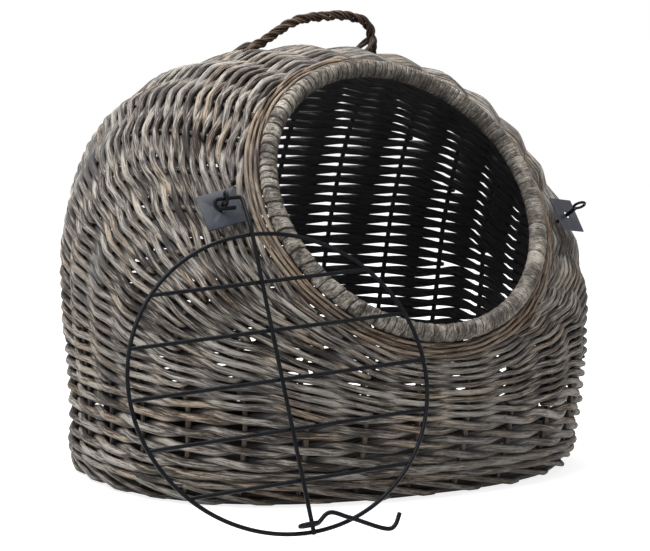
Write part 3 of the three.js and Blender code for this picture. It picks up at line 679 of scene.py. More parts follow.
def pairGuides(rows, look, random):
    guides = []
    steps = look["steps"]
    for m, end in enumerate(rows["ends"]):
        thickest = look["thickestBandRod"] if m < look["bandPairs"] else look["thickestRod"]
        if end is None:
            spans = rows["columns"]
        else:
            reach = int(round(end / interval * steps))
            spans = np.arange(-reach, reach + 1)
        column = spans % len(rows["columns"])
        points, out, up = readTable(rows["table"], column, rows["centres"][m][column])
        room = rows["room"][m][column]
        fill, rise = (np.interp(np.degrees(rows["away"][column]), look["angles"], look[key])
                      for key in ("fills", "lifts"))
        # a rod passes a stake level with its twin, however far the wall leans over
        steepness = (np.abs(out[:, 2]) - look["steepFrom"]) / look["steepOver"]
        out[:, 2] *= np.clip(steepness, look["leastTilt"], 1)
        out = unit(out)
        full = np.maximum(room, look["leastRoom"] * np.median(room))
        girth = np.minimum(thickest, fill * full) / 2
        depth = np.minimum(wall["thickness"] / 2 - girth, look["stakeRoom"] + girth * look["reach"])
        lift = rise * np.minimum(full, 2 * thickest) / 4
        twins = []
        for side in (1, -1):
            size = girth * random.uniform(1 - look["uneven"], 1 + look["uneven"] / 2)
            twins.append({"points": points, "out": out, "up": up, "phase": spans / steps - 0.5,
                          "depth": side * depth, "lift": side * lift, "girth": size,
                          "shade": random.random(), "facing": float(side)})
        if end is not None:
            twins = [hairpin(*twins)]
        guides += [rod(closed=True, innerBase=0.5, **twin) for twin in twins]
    return guides


def turnBack(twin, end, way):
    # A half circle of points round the last stake, from one rod of a pair to the other.
    p, out, up = (twin[key][end] for key in ("points", "out", "up"))
    ahead = unit(np.cross(up, out)) * way
    if np.dot(ahead, p - twin["points"][end - way]) < 0:
        ahead = -ahead
    start = twin["depth"][end] * math.cos(math.pi * twin["phase"][end])
    angles = np.linspace(0, math.pi, 8)[1:-1]        # the rods' own ends are left out
    return np.array([p + out * start * math.cos(a) + ahead * abs(start) * math.sin(a) for a in angles])


def hairpin(first, second):
    # The two rods of a short row are one: it turns round the last stake and comes back.
    far, near = turnBack(first, -1, 1), turnBack(first, 0, -1)[::-1]
    joined = {"shade": first["shade"]}
    for key in ("points", "out", "up", "phase", "depth", "lift", "girth", "facing"):
        there, back = (np.broadcast_to(twin[key], (len(first["points"]), *np.shape(twin[key])[1:]))
                       for twin in (first, second))
        if key == "points":
            bends = far, near
        elif key in ("depth", "lift", "facing"):
            bends = np.zeros(len(far)), np.zeros(len(near))
        else:
            bends = (np.broadcast_to(there[end], (len(far), *np.shape(there[end]))) for end in (-1, 0))
        farBend, nearBend = bends
        joined[key] = np.concatenate([there, farBend, back[::-1], nearBend])
    return joined


def inParts(guides, limit, sides=10):
    # Groups of rods that stay under the limit of triangles for one piece.
    groups, count = [[]], 0
    for guide in guides:
        size = len(guide["points"]) * sides * 2
        if count + size > limit:
            groups.append([])
            count = 0
        groups[-1].append(guide)
        count += size
    return groups


def makeWeave(look):
    guides = pairGuides(weaveRows(look), look, np.random.default_rng(look["seed"]))
    bandRods = look["bandPairs"] * 2 - 1
    piece = grow("band_weave", guides[:bandRods], willowBark, dict(look, seed=3))
    wear(piece, "basket", "willow", "band_weave_outer", "band_weave_inner")
    low = ["dome_weave_outer_left", "dome_weave_outer_right",
           "dome_weave_inner_left_low", "dome_weave_inner_right_low"]
    high = ["dome_weave_inner_left_high", "dome_weave_inner_right_high"]
    groups = inParts(guides[bandRods:], look["pieceLimit"])
    for n, group in enumerate(groups):
        piece = grow("dome_weave_%d" % (n + 1), group, willowBark, dict(look, seed=4 + n))
        wear(piece, "basket", "willow", *(low if n == 0 else high if n == len(groups) - 1 else []))


makeWeave(weaveLook)


# Waling: three rods, each in front of two stakes and behind one. How far out and how high a rod lies
# is given along one stroke, which passes three stakes.
waleStroke = {
    "stops": (0, 0.5, 1, 1.45, 2, 2.55, 3), "reach": (1, 1.06, 1, 0, -1, 0, 1),
    "climbStops": (0, 1.5, 2.5, 3), "climb": (-1 / 3, 1, -1, -1 / 3), "evened": 3, "seed": 21,
}


def waleGuide(place, look, shift, random):
    # One round is a single line of three turns, because 26 stakes don't divide by three.
    index = np.arange(3 * wall["stakes"] * look["steps"])
    stroke = ((index / look["steps"] - 0.5) + shift) % 3         # stakes at 0, 1 and 2
    reach = np.interp(stroke, waleStroke["stops"], waleStroke["reach"])
    # each point takes the mean of itself and as many points on both sides
    n = waleStroke["evened"]
    window = np.ones(2 * n + 1) / (2 * n + 1)
    reach = np.convolve(np.concatenate([reach[-n:], reach, reach[:n]]), window, "valid")
    climb = np.interp(stroke, waleStroke["climbStops"], waleStroke["climb"]) * look["slope"]
    points, out, up = place(index / look["steps"] * interval)
    girth = look["rod"] / 2
    depth = look["stake"] + girth
    centre = points + out * (reach * depth)[:, None] + up * (climb * look["climb"])[:, None]
    return rod(centre, girth, True, out=out, shade=random.random(), innerBase=0.5 - 0.5 * reach)


def atHeight(z, inset):
    def place(turns):
        level = np.full(len(turns), levelOfHeight(z))
        up = np.zeros((len(turns), 3)) + (0, 0, 1)
        return wallPoint(level, turns, inset), outwardNormal(level, turns), up
    return place


def besideRim(distance, inset, step=0.004):
    def place(turns):
        level = levelBesideRim(turns, inset, distance)
        normal = outwardNormal(level, turns)
        points = wallPoint(level, turns, inset)
        higher = wallPoint(np.minimum(1, level + step), turns, inset) - points
        up = unit(higher - normal * np.sum(higher * normal, -1, keepdims=True))
        return points, normal, up
    return place


# rounds: height or distance from the rim, then where the rod starts in its stroke
upsettLook = {
    "steps": 8, "rod": 0.0062, "stake": 0.0028, "climb": 0.0026, "slope": 1, "inset": 0.0078,
    "rounds": ((0.0193, 0), (0.0272, 1)), "wobble": 0.0009, "seed": 11,
}
collarLook = {
    "steps": 6, "rod": 0.0031, "stake": 0.0026, "climb": 0.0014, "slope": -1, "inset": 0.0062,
    "rounds": ((0.0108, 0), (0.0150, 1), (0.0192, 2)), "sides": 8, "wobble": 0.0012, "wobbleSize": 45.0,
    "seed": 12,
}


def makeWale(name, where, bark, slot, look, random):
    guides = [waleGuide(where(at, look["inset"]), look, shift, random) for at, shift in look["rounds"]]
    wear(grow(name, guides, bark, look), "basket", slot, name)


waleRandom = np.random.default_rng(waleStroke["seed"])
makeWale("upsett_wale", atHeight, borderBark, "willow", upsettLook, waleRandom)
makeWale("collar_wale", besideRim, warmBark, "warm_willow", collarLook, waleRandom)


# Stakes, the uprights that the rods are woven round.
uprightLook = {
    "foot": 0.010, "rimGap": 0.006, "radius": 0.0025, "points": 60, "wobble": 0.0008, "seed": 31,
}


def makeStakes(look):
    random = np.random.default_rng(look["seed"])
    guides = []
    for k in range(wall["stakes"]):
        turn = (k + 0.5) * interval
        top = float(levelBesideRim(np.array([turn]), wall["stakeInset"], look["rimGap"])[0])
        levels = np.linspace(levelOfHeight(look["foot"]), top, look["points"])
        points = wallPoint(levels, turn, wall["stakeInset"])
        guides.append(rod(points, look["radius"], out=outwardNormal(levels, turn),
                          shade=random.random(), innerBase=0.2))
    piece = grow("stakes", guides, stakeBark, look)
    wear(piece, "basket", "dark_willow", *["stake_%02d" % (k + 1) for k in range(wall["stakes"])])


makeStakes(uprightLook)


# Foot border: each stake's end comes out, leans over others and tucks under.
borderLook = {
    "rod": 0.0055, "span": 2.1, "start": 0.35, "points": 26, "wobble": 0.0009, "seed": 41,
    "stops": (0, 0.12, 0.2, 0.5, 0.8, 0.92, 1),
    "heights": (0.0215, 0.0188, 0.0170, 0.0105, 0.0042, 0.0033, 0.0040), "spread": 0.0006,
    # insets at the ends, and what is added to the rod's radius between them
    "insets": (0.0095, 0.0045), "added": (-0.0002, 0, 0.0008), "tuckedInsets": (0.0070, 0.0125),
    "thinnest": 0.85, "thickest": 1.08,
    # plain rods behind the plait that close it: height and inset of each
    "core": 0.0030, "coreSteps": 208, "coreWobble": 0.0006,
    "coreRounds": ((0.0034, 0.0125), (0.0100, 0.0125), (0.0060, 0.0105),
                   (0.0150, 0.0115), (0.0050, 0.0162), (0.0110, 0.0160)),
}


def makeBorder(look):
    random = np.random.default_rng(look["seed"])
    r = look["rod"] / 2
    insets = (*look["insets"], *[r + more for more in look["added"]], *look["tuckedInsets"])
    s = np.linspace(0, 1, look["points"])
    height, inset = (np.interp(s, look["stops"], values) for values in (look["heights"], insets))
    guides = []
    for k in range(wall["stakes"]):
        turn = (k + 0.5) * interval + interval * look["start"] - interval * look["span"] * s
        shift = random.uniform(-look["spread"], look["spread"])
        points = wallPoint(levelOfHeight(height + shift), turn, inset)
        size = r * random.uniform(look["thinnest"], look["thickest"])
        out = outwardNormal(levelOfHeight(height), turn)
        guides.append(rod(points, size, out=out, shade=random.random()))
    piece = grow("foot_border", guides, borderBark, look)
    wear(piece, "basket", "willow", "foot_border")
    turns = roundAngles(look["coreSteps"])
    core = [rod(wallPoint(levelOfHeight(z), turns, inset), look["core"], True,
                shade=random.random(), innerBase=0.6) for z, inset in look["coreRounds"]]
    coreLine = dict(look, wobble=look["coreWobble"], seed=look["seed"] + 1)
    piece = grow("border_core", core, corePaintedShadeBark, coreLine)
    wear(piece, "basket", "dark_willow")


makeBorder(borderLook)


# Base mat: rods over and under the sticks.
baseLook = {
    "stickPitch": 0.058, "sticks": 7, "stick": 0.007, "stickPoints": 20, "middle": 0.0088,
    "rod": 0.0049, "pitch": 0.0053, "rodStep": 0.006, "inset": 0.0179, "edge": 0.002,
    "outlineSteps": 208, "crossPitch": 0.090, "crossReach": 0.186, "seed": 51,
}


def baseSpan(outline, y):
    # where a line across the base enters and leaves its outline
    after = np.roll(outline, -1, axis=0)
    crossing = (outline[:, 1] - y) * (after[:, 1] - y) < 0
    a, b = outline[crossing], after[crossing]
    x = a[:, 0] + (y - a[:, 1]) / (b[:, 1] - a[:, 1]) * (b[:, 0] - a[:, 0])
    return x.min(), x.max()


def makeBase(look):
    random = np.random.default_rng(look["seed"])
    middle, pitch = look["middle"], look["stickPitch"]

    def flat(x, y):
        return np.stack([*np.broadcast_arrays(x, y, middle)], 1)

    outline = wallPoint(0.0, roundAngles(look["outlineSteps"]), look["inset"])
    front, back = outline[:, 1].min() + look["edge"], outline[:, 1].max() - look["edge"]
    guides = []
    rows = int((back - front) / look["pitch"])
    for n in range(rows + 1):
        y = blend(front, back, n / rows)
        left, right = baseSpan(outline, y)
        x = np.linspace(left, right, max(3, int((right - left) / look["rodStep"])))
        side = 1 if n % 2 else -1
        depth = side * (middle - look["rod"] / 2)
        guides.append(rod(flat(x, y), look["rod"] / 2, phase=x / pitch, depth=depth,
                          shade=random.random(), innerBase=0.5))
    piece = grow("base_weave", guides, corePaintedShadeBark, dict(look, sides=8))
    wear(piece, "basket", "willow", "base_weave_under", "base_weave_top")
    places = []
    for i in range(look["sticks"]):
        x = (i - (look["sticks"] - 1) / 2) * pitch
        places.append((x, np.linspace(*baseSpan(outline[:, [1, 0, 2]], x), look["stickPoints"])))
    for side in (-1, 1):
        across = np.linspace(-look["crossReach"], look["crossReach"], look["stickPoints"])
        places.append((across, side * look["crossPitch"] / 2))
    sticks = [rod(flat(x, y), look["stick"] / 2, shade=random.random(), innerBase=0.4)
              for x, y in places]
    piece = grow("base_sticks", sticks, corePaintedShadeBark, look)
    wear(piece, "basket", "dark_willow", "base_sticks")


makeBase(baseLook)


# Rim: a roll wrapped with split willow. Laps are narrow at one side and wide at the other.
rimLook = {
    "roll": 0.0079, "narrow": 0.0040, "wide": 0.0112, "narrowSide": math.radians(40), "jitter": 0.45,
    "groove": 0.0012, "lap": 0.0008, "slant": 0.16, "wander": 0.4, "step": 0.0007, "sides": 24,
    "wanderSize": 55.0, "roughSize": 120.0, "roughMiddle": 0.6, "grooveSharpness": 7.0, "seed": 61,
}
rimInputs = [
    ("Sides", "Int", 20),
    ("Roll", "Float", 0.008),
    ("Groove", "Float", 0.001),
    ("Lap", "Float", 0.0004),
    ("Slant", "Float", 0.1),
    ("Wander", "Float", 0.5),
    ("Material", "Material", None),
]


def makeRimTree(look):
    g, given = startTree("rimWrap", rimInputs)
    curve = g.node("GeometryNodeMeshToCurve", None, {"Mesh": given["Geometry"]})
    profile = ringProfile(g, given["Sides"])
    roll = g.node("GeometryNodeCurveToMesh", None,
                  {"Curve": curve, "Profile Curve": profile, "Scale": given["Roll"]})
    ringX = g.node("ShaderNodeSeparateXYZ", None, {0: g.read("ring", "FLOAT_VECTOR")})
    place = g.node("GeometryNodeInputPosition")
    drift = g.noise(place, look["wanderSize"], 2.0, 0.5) - 0.5
    count = g.read("turns") + ringX * given["Slant"] + drift * given["Wander"]
    part = count.of("FRACT")
    edge = ((part - 0.5).of("ABSOLUTE") * 2.0) ** look["grooveSharpness"]
    uneven = g.noise(place, look["roughSize"], 2.0, 0.5) - look["roughMiddle"]
    push = (part - 0.5) * given["Lap"] - edge * given["Groove"] + uneven * given["Lap"]
    roll = g.store(g.store(roll, "lapCount", count), "crest", facingOut(g))
    offset = g.vectorMath("SCALE", g.node("GeometryNodeInputNormal"), push)
    roll = g.node("GeometryNodeSetPosition", None, {"Geometry": roll, "Offset": offset})
    return endTree(g, roll, given["Material"])


def makeRimWillow(look):
    # Split willow wound round the roll: fibres run round it, with stains, dirt and thin dark edges.
    material, g = newMaterial("splitWillow")
    count, crest = g.attribute("lapCount"), g.attribute("crest")
    place = g.node("ShaderNodeTexCoord", None, None, "Object")
    part, lap = count.of("FRACT"), count.of("FLOOR")
    edge = (part - 0.5).of("ABSOLUTE") * 2.0
    aroundRoll = g.vectorMath("SCALE", g.attribute("ring", "Vector"), 0.8)

    def fibres(start, scale, detail):
        return g.noise(g.vectorMath("ADD", aroundRoll, start), scale, detail, 0.7)

    def cover(colour, factor, other):
        return g.mix(factor, colour, opaque(look[other]))

    # lap takes each lap to a part of the noise of its own
    fibre = fibres(g.vector(lap * 7.3, 0.0, part * 5.0), 2.0, 5.0)
    hair = fibres(g.vector(lap * 3.7, 9.0, part * 14.0), 1.6, 4.0)
    lapTone = g.node("ShaderNodeTexWhiteNoise", {"noise_dimensions": "1D"}, {"W": lap})
    patch = g.noise(place, look["patchSize"], 4.0, 0.65)
    stain = g.noise(place, look["stainSize"], 4.0, 0.7)
    tone = 0.5
    for value, share in zip((fibre, hair, lapTone, patch), look["shares"]):
        tone = tone + share * (value - 0.5)
    colour = g.ramp(tone, look["stops"])
    colour = cover(colour, g.mask(stain, *look["stainRange"]) * look["stains"], "stain")
    colour = cover(colour, g.mask(hair, *look["crackRange"]) * look["cracks"], "dirt")
    broken = g.mask(edge + (stain - 0.5) * look["edgeBreaks"], *look["edgeRange"])
    colour = cover(colour, broken * look["edges"], "dirt")
    # painted shade on the side of the roll that faces into the opening
    colour = cover(colour, g.mask(0.0 - crest, *look["innerRange"]) * look["innerPaintedShade"], "inner")
    rough = look["roughness"] + look["roughSpread"] * (hair - 0.5)
    finishSurface(g, {"Base Color": colour, "Roughness": rough, "Specular IOR Level": look["gloss"]},
                  fibre + hair * 0.7 + stain * 0.5, look["bump"], look["bumpDepth"])
    return material


splitLook = {
    "stops": [(0.18, (0.032, 0.027, 0.023)), (0.36, (0.090, 0.078, 0.066)),
              (0.52, (0.240, 0.214, 0.182)), (0.68, (0.400, 0.362, 0.312)),
              (0.86, (0.590, 0.545, 0.485))],
    "shares": (1.5, 0.9, 0.16, 1.3),             # of fibres, hairs, the lap's own tone and patches
    "patchSize": 34.0, "stainSize": 75.0,
    "stains": 0.75, "stainRange": (0.50, 0.66), "stain": (0.045, 0.038, 0.032),
    "cracks": 0.7, "crackRange": (0.42, 0.30), "dirt": (0.018, 0.015, 0.012),
    "edges": 0.92, "edgeRange": (0.80, 0.96), "edgeBreaks": 0.5,
    # the inner colour and its share are painted shade on the roll's inner side
    "innerPaintedShade": 0.35, "innerRange": (0.25, 0.95), "inner": (0.050, 0.044, 0.040),
    "roughness": 0.6, "roughSpread": 0.3, "gloss": 0.25, "bump": 0.8, "bumpDepth": 0.0010,
}


def makeRim(look):
    random = np.random.default_rng(look["seed"])
    radius, jitter = wall["rimRadius"], look["jitter"]
    around = 2 * math.pi * radius
    edges, at = [0.0], 0.0
    while at < around:
        share = 0.5 - 0.5 * math.cos(at / radius - look["narrowSide"])
        at += blend(look["narrow"], look["wide"], share) * random.uniform(1 - jitter, 1 + jitter)
        edges.append(at)
    edges = np.array(edges) * around / edges[-1]
    place = np.arange(0, around, look["step"])
    angle = place / radius
    points = inOpening(radius * np.cos(angle), radius * np.sin(angle), np.zeros(len(angle)))
    mesh = bpy.data.meshes.new("rimGuide")
    n = len(points)
    mesh.from_pydata(points.tolist(), [(i, (i + 1) % n) for i in range(n)], [])
    putAttribute(mesh, "turns", np.interp(place, edges, np.arange(len(edges))))
    putAttribute(mesh, "out", unit(points - openingCentre))
    settings = chosen(rimInputs, look, makeRimWillow(splitLook))
    piece = evaluated("rim_wrap", mesh, makeRimTree(look), settings, ("turns", "out"))
    wear(piece, "basket", "rim_willow", "rim_wrap", "rim_hoop")
    print("rim_wrap", len(edges) - 1, "laps,", len(piece.data.polygons) * 2, "triangles")


makeRim(rimLook)


def catmull(points, count, fine=24):
    # A centripetal curve through points, sampled at equal distances.
    points = [np.asarray(p, float) for p in points]
    first, last = 2 * points[0] - points[1], 2 * points[-1] - points[-2]
    full = [first] + points + [last]
    path = []
    for p0, p1, p2, p3 in zip(full, full[1:], full[2:], full[3:]):
        t1 = np.linalg.norm(p1 - p0) ** 0.5
        t2 = t1 + np.linalg.norm(p2 - p1) ** 0.5
        t3 = t2 + np.linalg.norm(p3 - p2) ** 0.5
        for t in np.linspace(t1, t2, fine, endpoint=False):
            a1 = blend(p0, p1, t / t1)
            a2 = blend(p1, p2, (t - t1) / (t2 - t1))
            a3 = blend(p2, p3, (t - t2) / (t3 - t2))
            b1, b2 = blend(a1, a2, t / t2), blend(a2, a3, (t - t1) / (t3 - t1))
            path.append(blend(b1, b2, (t - t1) / (t2 - t1)))
    path = np.array(path + [points[-1]])
    length = lengthAlong(path)
    at = np.linspace(0, length[-1], count)
    return np.stack([np.interp(at, length, path[:, axis]) for axis in range(3)], 1)


def framesAlong(path, start):
    # Two directions square to the path that turn with it as little as possible.
    tangents = unit(np.gradient(path, axis=0))
    sides = []
    side = np.asarray(start, float)
    for tangent in tangents:
        side = unit(side - tangent * np.dot(side, tangent))
        sides.append(side)
    sides = np.array(sides)
    return sides, np.cross(tangents, sides)


def crestHeight(x, y):
    # The dome's height above a place near its top, from the nearest of a grid of its points.
    level, turn = np.meshgrid(np.arange(0.6, 0.97, 0.005), np.arange(-math.pi / 2, math.pi / 2, 0.02))
    p = outerPoint(level.ravel(), turn.ravel())
    return p[np.hypot(p[:, 0] - x, p[:, 1] - y).argmin(), 2]


# Rope handle: three strands of three rods, whose ends spread over the weave beside each foot.
handleLook = {
    "back": 0.018, "left": -0.0645, "right": 0.064, "rise": 0.0303, "footDepth": 0.0204, "rope": 0.0105,
    "lay": 0.040, "strandLay": 0.030, "points": 420,
    "strand": 0.0105 / 4.31,          # radius of three circles that touch, in one round rope
    "rodsInStrand": 2.05, "strandSpread": 1.155,
    "tail": 0.0044, "tailGirth": 0.42, "tailSpread": 0.011, "tailPoints": 40,
    "tailsApart": (-0.27, 0.27),
    "ends": (("left", -0.017, 0), ("right", -0.014, 0.011)),      # foot, reach and lift of its ends
    "sides": 8, "wobble": 0.0009, "wobbleSize": 90.0, "seed": 71,
}


def handleTail(look, foot, top, side, reach, lift, random):
    # Two thin rods of a strand, spread over the weave beside the rope's foot.
    y, half, d = look["back"], look["rope"] / 2, look["tail"]
    bendX, farX = foot + reach / 4, foot + reach
    bendY, farY = y + side * (half + d * 0.8), y + side * (half + look["tailSpread"])
    rods = []
    # each leaves the rope's foot, bends over the nearest rods and ends among them, as in the photo
    for apart in look["tailsApart"]:
        corners = [(foot, y + side * (half - d / 2), top + d / 2 + lift),
                   (bendX, bendY - side * 0.002, crestHeight(bendX, bendY) + d * 0.7 + lift * 0.55),
                   (farX + apart * 0.014, farY + apart * 0.006, crestHeight(farX, farY) - 0.0012)]
        path = catmull(corners, look["tailPoints"]) + np.array([0, apart, apart]) * d
        rods.append(rod(path, d * look["tailGirth"], shade=random.random()))
    return rods


def makeHandle(look):
    random = np.random.default_rng(look["seed"])
    y, left, right, rise, foot = (look[key] for key in ("back", "left", "right", "rise", "footDepth"))
    tops = {"left": crestHeight(left, y), "right": crestHeight(right, y)}
    arch = crestHeight(0, y) + rise
    climb, span = arch - tops["left"], right - left
    # the rope's uneven arch as the photo shows it, from the left foot to the right one
    corners = [(left, tops["left"] - foot), (left, tops["left"]),
               (left + span * 0.08, tops["left"] + climb * 0.2),
               (left + span * 0.34, tops["left"] + climb * 0.78),
               (left + span * 0.62, arch - 0.001), (right - span * 0.25, arch),
               (right - span * 0.05, arch - 0.006), (right, tops["right"] + rise * 0.45),
               (right, tops["right"] - foot)]
    path = catmull([(x, y, z) for x, z in corners], look["points"])
    side, other = framesAlong(path, (0, 1, 0))
    length = lengthAlong(path)
    strand = look["strand"]
    girth = strand / look["rodsInStrand"]
    guides = []
    for n in range(3):
        angle = length / look["lay"] * 2 * math.pi + n * 2 * math.pi / 3
        around = side * np.cos(angle)[:, None] + other * np.sin(angle)[:, None]
        middle = path + around * (strand * look["strandSpread"])
        out, up = framesAlong(middle, (0, 1, 0))
        for k in range(3):
            turn = length / look["strandLay"] * 2 + k * 2 / 3
            guides.append(rod(middle, girth, phase=turn, out=out, up=up, depth=strand - girth,
                              lift=strand - girth, shade=random.random()))
    for end, reach, lift in look["ends"]:
        for side in (-1, 1):
            guides += handleTail(look, look[end], tops[end], side, reach, lift, random)
    piece = grow("handle_rope", guides, ropeBark, look)
    wear(piece, "basket", "rope_willow", "handle_rope")


makeHandle(handleLook)


# Wire door and hook, drawn as they hang from the left eye.
doorLook = {
    "ring": 0.1242, "wire": 0.0040, "drawnWire": 0.0035, "clear": 0.0003, "crossbars": 5,
    "overhang": 0.0368, "crossbarShare": 0.98, "ringGap": 0.0008, "barSink": 0.0001,
    "ringPoints": 240, "barPoints": 24, "setBack": 0.0097, "sides": 16,
    "hingeOffset": 0.012, "hingeLength": 0.022, "hingeReturn": 0.005, "hingeGap": 2.2,
    "hookWire": 0.0036, "hookEye": 0.0046, "hookEyeTail": 0.010, "hookSetBack": 0.0056,
    "hookHump": 0.0065, "hookDip": 0.0145, "hookReach": 0.060, "hookTip": 0.071,
    "hookTipRise": 0.0035, "hookLift": 0.005, "hookBend": (0.002, 0.005), "hookPoints": 90,
}
eyeLook = {
    "span": 0.180, "leftDrop": 0.0027, "rightDrop": 0.0147, "lift": 0.0055,
    "yaw": math.radians(10.6), "rise": math.radians(31),
    "ring": 0.0054, "ringPoints": 48, "wire": 0.0026, "shank": 0.0036, "reach": 0.0640, "points": 160,
    "threadFrom": 0.017, "threadDepth": 0.9, "sides": 16,
}


def shankDirection(side):
    yaw, rise = eyeLook["yaw"], eyeLook["rise"]
    flat = math.cos(rise)
    return np.array([side * flat * math.sin(yaw), -flat * math.cos(yaw), math.sin(rise)])


def eyeCentre(side):
    drop = eyeLook["leftDrop"] if side < 0 else eyeLook["rightDrop"]
    return inOpening(side * eyeLook["span"], -drop, eyeLook["lift"])


def turned(v, axis, angle):
    c, s = math.cos(angle), math.sin(angle)
    return v * c + np.cross(axis, v) * s + axis * np.dot(axis, v) * (1 - c)


doorAxes = [turned(axis, shankDirection(-1), -math.pi / 2)
            for axis in (np.array([1.0, 0, 0]), upOpening, outOpening)]


def doorPoint(along, up, out):
    d = doorLook
    local = (along + d["ring"] + d["overhang"], up + d["hingeOffset"], out + d["setBack"])
    return eyeCentre(-1) + sum(axis * value for axis, value in zip(doorAxes, local))


def bentPath(points, radius, count=10):
    # Straight runs joined by round corners.
    points = [np.asarray(p, float) for p in points]
    path = [points[0]]
    for before, corner, after in zip(points, points[1:], points[2:]):
        into, away = corner - before, after - corner
        trim = min(radius, np.linalg.norm(into) * 0.49, np.linalg.norm(away) * 0.49)
        start, stop = corner - unit(into) * trim, corner + unit(away) * trim
        path += [bezier([start, corner, stop], t) for t in np.linspace(0, 1, count)]
    path.append(points[-1])
    return np.array(path)


def wireRod(path, girth):
    # A wire with slightly rounded cut ends: the radius drops over the last bit.
    path = np.asarray(path)
    first, last = unit(path[1] - path[0]), unit(path[-1] - path[-2])
    places, shares = (0, 0.12, 0.35), (0.72, 0.92)     # in radii from the end, and of the radius
    ahead = [path[0] + first * girth * s for s in places]
    behind = [path[-1] - last * girth * s for s in reversed(places)]
    points = np.concatenate([ahead, path[1:-1], behind])
    size = np.full(len(points), girth)
    for n, share in enumerate(shares):
        size[[n, -1 - n]] *= share
    return rod(points, size)


def makeDoor(look):
    r, radius, back, gap = look["drawnWire"] / 2, look["ring"], -look["setBack"], look["ringGap"]
    angles = roundAngles(look["ringPoints"])
    ring = [doorPoint(radius * math.cos(a), radius * math.sin(a), 0) for a in angles]
    guides = [rod(ring, r, True)]
    for bar in range(1, look["crossbars"] + 1):
        along = radius * (2 * bar / (look["crossbars"] + 1) - 1)
        half = math.sqrt(radius ** 2 - along ** 2) - gap
        points = [doorPoint(along, up, 0) for up in np.linspace(-half, half, look["barPoints"])]
        guides.append(wireRod(points, r * look["crossbarShare"]))
    barOut = look["drawnWire"] - look["barSink"]
    hinge = -radius - look["overhang"]
    leg = hinge + look["wire"] * look["hingeGap"]
    corners = [(radius + r + gap, 0, barOut), (-radius - 4 * r, 0, barOut), (hinge, r, back),
               (hinge, -look["hingeLength"], back), (leg, -look["hingeLength"], back),
               (leg, -look["hingeReturn"], back)]
    guides.append(wireRod(bentPath([doorPoint(*corner) for corner in corners], look["wire"]), r))
    piece = grow("door_grille", guides, blackWire, look)
    wear(piece, "door", "black_wire", "door_ring", "door_main_bar",
         *["door_crossbar_%d" % (n + 1) for n in range(look["crossbars"])])


def makeHook(look):
    pivot = look["ring"] - look["hookSetBack"]
    barOut = look["wire"] + look["clear"]
    e, tail, r = look["hookEye"], look["hookEyeTail"], look["hookWire"] / 2
    bends = np.linspace(0, math.pi, 16)
    loop = [(e * math.sin(a), e * math.cos(a)) for a in bends]
    loop += [(-tail + e - e * math.sin(a), -e * math.cos(a)) for a in bends]
    reach, dip, (bendBack, bendOn) = look["hookReach"], look["hookDip"], look["hookBend"]
    arm = [(0, e), (-look["hookHump"], reach * 0.25), (0, reach * 0.5), (dip, reach),
           (dip - bendBack, reach + bendOn), (look["hookTipRise"], look["hookTip"])]
    arm = [doorPoint(pivot + along, up, barOut + look["hookLift"] * up / reach) for along, up in arm]
    arm = catmull(arm, look["hookPoints"])
    eye = rod([doorPoint(pivot, up, barOut + out) for up, out in loop], r, True)
    piece = grow("door_hook", [eye, wireRod(arm, r)], blackWire, look)
    wear(piece, "hook", "black_wire", "door_hook")


def makeEye(side, upright, name, body, look):
    # A ring on a threaded shank that reaches as far as the part's own.
    direction, centre = shankDirection(side), eyeCentre(side)
    aside = unit(np.cross(np.cross(direction, upright), direction))
    ring = [centre + look["ring"] * (direction * math.cos(a) + aside * math.sin(a))
            for a in roundAngles(look["ringPoints"])]
    corners = np.array(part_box(name)) - centre
    far = np.maximum(*(corners * -direction)).sum()
    steps = np.linspace(0, min(far, look["reach"]) - look["ring"], look["points"])
    shank = [centre - direction * (look["ring"] + s) for s in steps]
    groove = (steps > look["threadFrom"]) & (np.arange(look["points"]) % 2 == 0)
    thread = look["shank"] / 2 * np.where(groove, look["threadDepth"], 1.0)
    guides = [rod(ring, look["wire"] / 2, True), rod(shank, thread)]
    wear(grow(name, guides, blackWire, look), body, "black_wire", name)


makeDoor(doorLook)
makeHook(doorLook)
makeEye(-1, (0, 0, 1), "left_eye_bolt", "left_eye", eyeLook)
makeEye(1, (1, 0, 0), "right_eye_bolt", "basket", eyeLook)

# Fittings: body, slot, material and how far each edge is rounded.
fittings = {
    "left_plate": ("basket", "blue_steel", blueSteel, 0.0004),
    "right_plate": ("basket", "blue_steel", blueSteel, 0.0004),
    "left_washer": ("basket", "zinc_steel", zincSteel, 0.0003),
    "right_washer": ("basket", "zinc_steel", zincSteel, 0.0003),
    "left_nut": ("left_eye", "zinc_steel", zincSteel, 0.0004),
    "right_nut": ("basket", "zinc_steel", zincSteel, 0.0004),
}
softenLook = {"merge": 1e-6, "flat": 0.02, "sharp": 0.9, "segments": 2}


def soften(name, body, slot, material, width, look):
    # A copy of a fitting with its cut edges rounded.
    mesh = bpy.data.meshes.new(name)
    bm = bmesh.new()
    bm.from_mesh(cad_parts[name].data)
    bmesh.ops.remove_doubles(bm, verts=bm.verts, dist=look["merge"])
    bmesh.ops.dissolve_limit(bm, angle_limit=look["flat"], verts=bm.verts, edges=bm.edges)
    sharp = [edge for edge in bm.edges
             if len(edge.link_faces) == 2 and edge.calc_face_angle() > look["sharp"]]
    bmesh.ops.bevel(bm, geom=sharp, offset=width, offset_type="OFFSET",
                    segments=look["segments"], profile=0.5, affect="EDGES")
    bmesh.ops.recalc_face_normals(bm, faces=bm.faces)
    bm.to_mesh(mesh)
    bm.free()
    mesh.materials.clear()
    mesh.materials.append(material)
    print(name, len(mesh.polygons), "faces")
    wear(addObject(name, mesh), body, slot, name)


for name, facts in fittings.items():
    soften(name, *facts, softenLook)
print("hardware made")


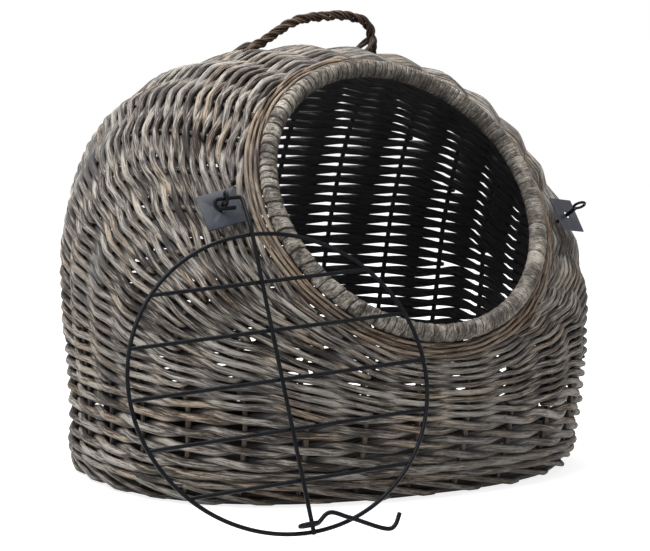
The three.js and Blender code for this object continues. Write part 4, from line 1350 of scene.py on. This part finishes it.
# Floor, world and lamps. A lamp has a name, a place, a size and a power.
studioLook = {
    "ambient": 0.31, "floorColour": (0.60, 0.60, 0.60), "floorGlow": 0.84,
    "floorReach": 12, "floorDrop": 0.0005,
    "lamps": [("key", (-1.7, -0.9, 2.9), 1.7, 78), ("top", (-0.3, 0.5, 2.8), 1.8, 76)],
    "lampsAim": (0, 0, 0.2),
}


def seenByEye(g):
    # camera, glossy and transmission rays see the plain background
    path = g.tree.nodes.new("ShaderNodeLightPath")
    camera, glossy, through = (Wire(g, path.outputs["Is %s Ray" % kind]) for kind in
                               ("Camera", "Glossy", "Transmission"))
    total = camera + glossy + through
    return total.math("MINIMUM", total, 1.0)


def makeStudio(look):
    scene = bpy.context.scene
    white = (1, 1, 1, 1)
    world = bpy.data.worlds.new("studio")
    scene.world = world
    world.use_nodes = True
    world.node_tree.nodes.clear()
    g = Graph(world.node_tree)
    strength = look["ambient"] + seenByEye(g) * (1 - look["ambient"])
    sky = g.node("ShaderNodeBackground", None, {"Color": white, "Strength": strength})
    g.node("ShaderNodeOutputWorld", None, {"Surface": sky})
    material, g = newMaterial("paleFloor")
    matt = g.node("ShaderNodeBsdfDiffuse", None, {"Color": opaque(look["floorColour"])})
    glow = seenByEye(g) * look["floorGlow"]
    glow = g.node("ShaderNodeEmission", None, {"Color": white, "Strength": glow})
    both = g.node("ShaderNodeAddShader", None, {0: matt, 1: glow})
    g.node("ShaderNodeOutputMaterial", None, {"Surface": both})
    mesh = bpy.data.meshes.new("floor")
    corners = [(x * look["floorReach"], y * look["floorReach"], -look["floorDrop"])
               for x, y in ((-1, -1), (1, -1), (1, 1), (-1, 1))]
    mesh.from_pydata(corners, [], [(0, 1, 2, 3)])
    mesh.materials.append(material)
    addObject("floor", mesh)
    for name, place, size, power in look["lamps"]:
        data = bpy.data.lights.new(name, "AREA")
        data.shape = "DISK"
        data.size = size
        data.energy = power
        lamp = addObject(name, data)
        lamp.location = place
        aim = Vector(look["lampsAim"]) - Vector(place)
        lamp.rotation_euler = aim.to_track_quat("-Z", "Y").to_euler()
    scene.view_settings.view_transform = "Standard"


makeStudio(studioLook)
print("studio made")
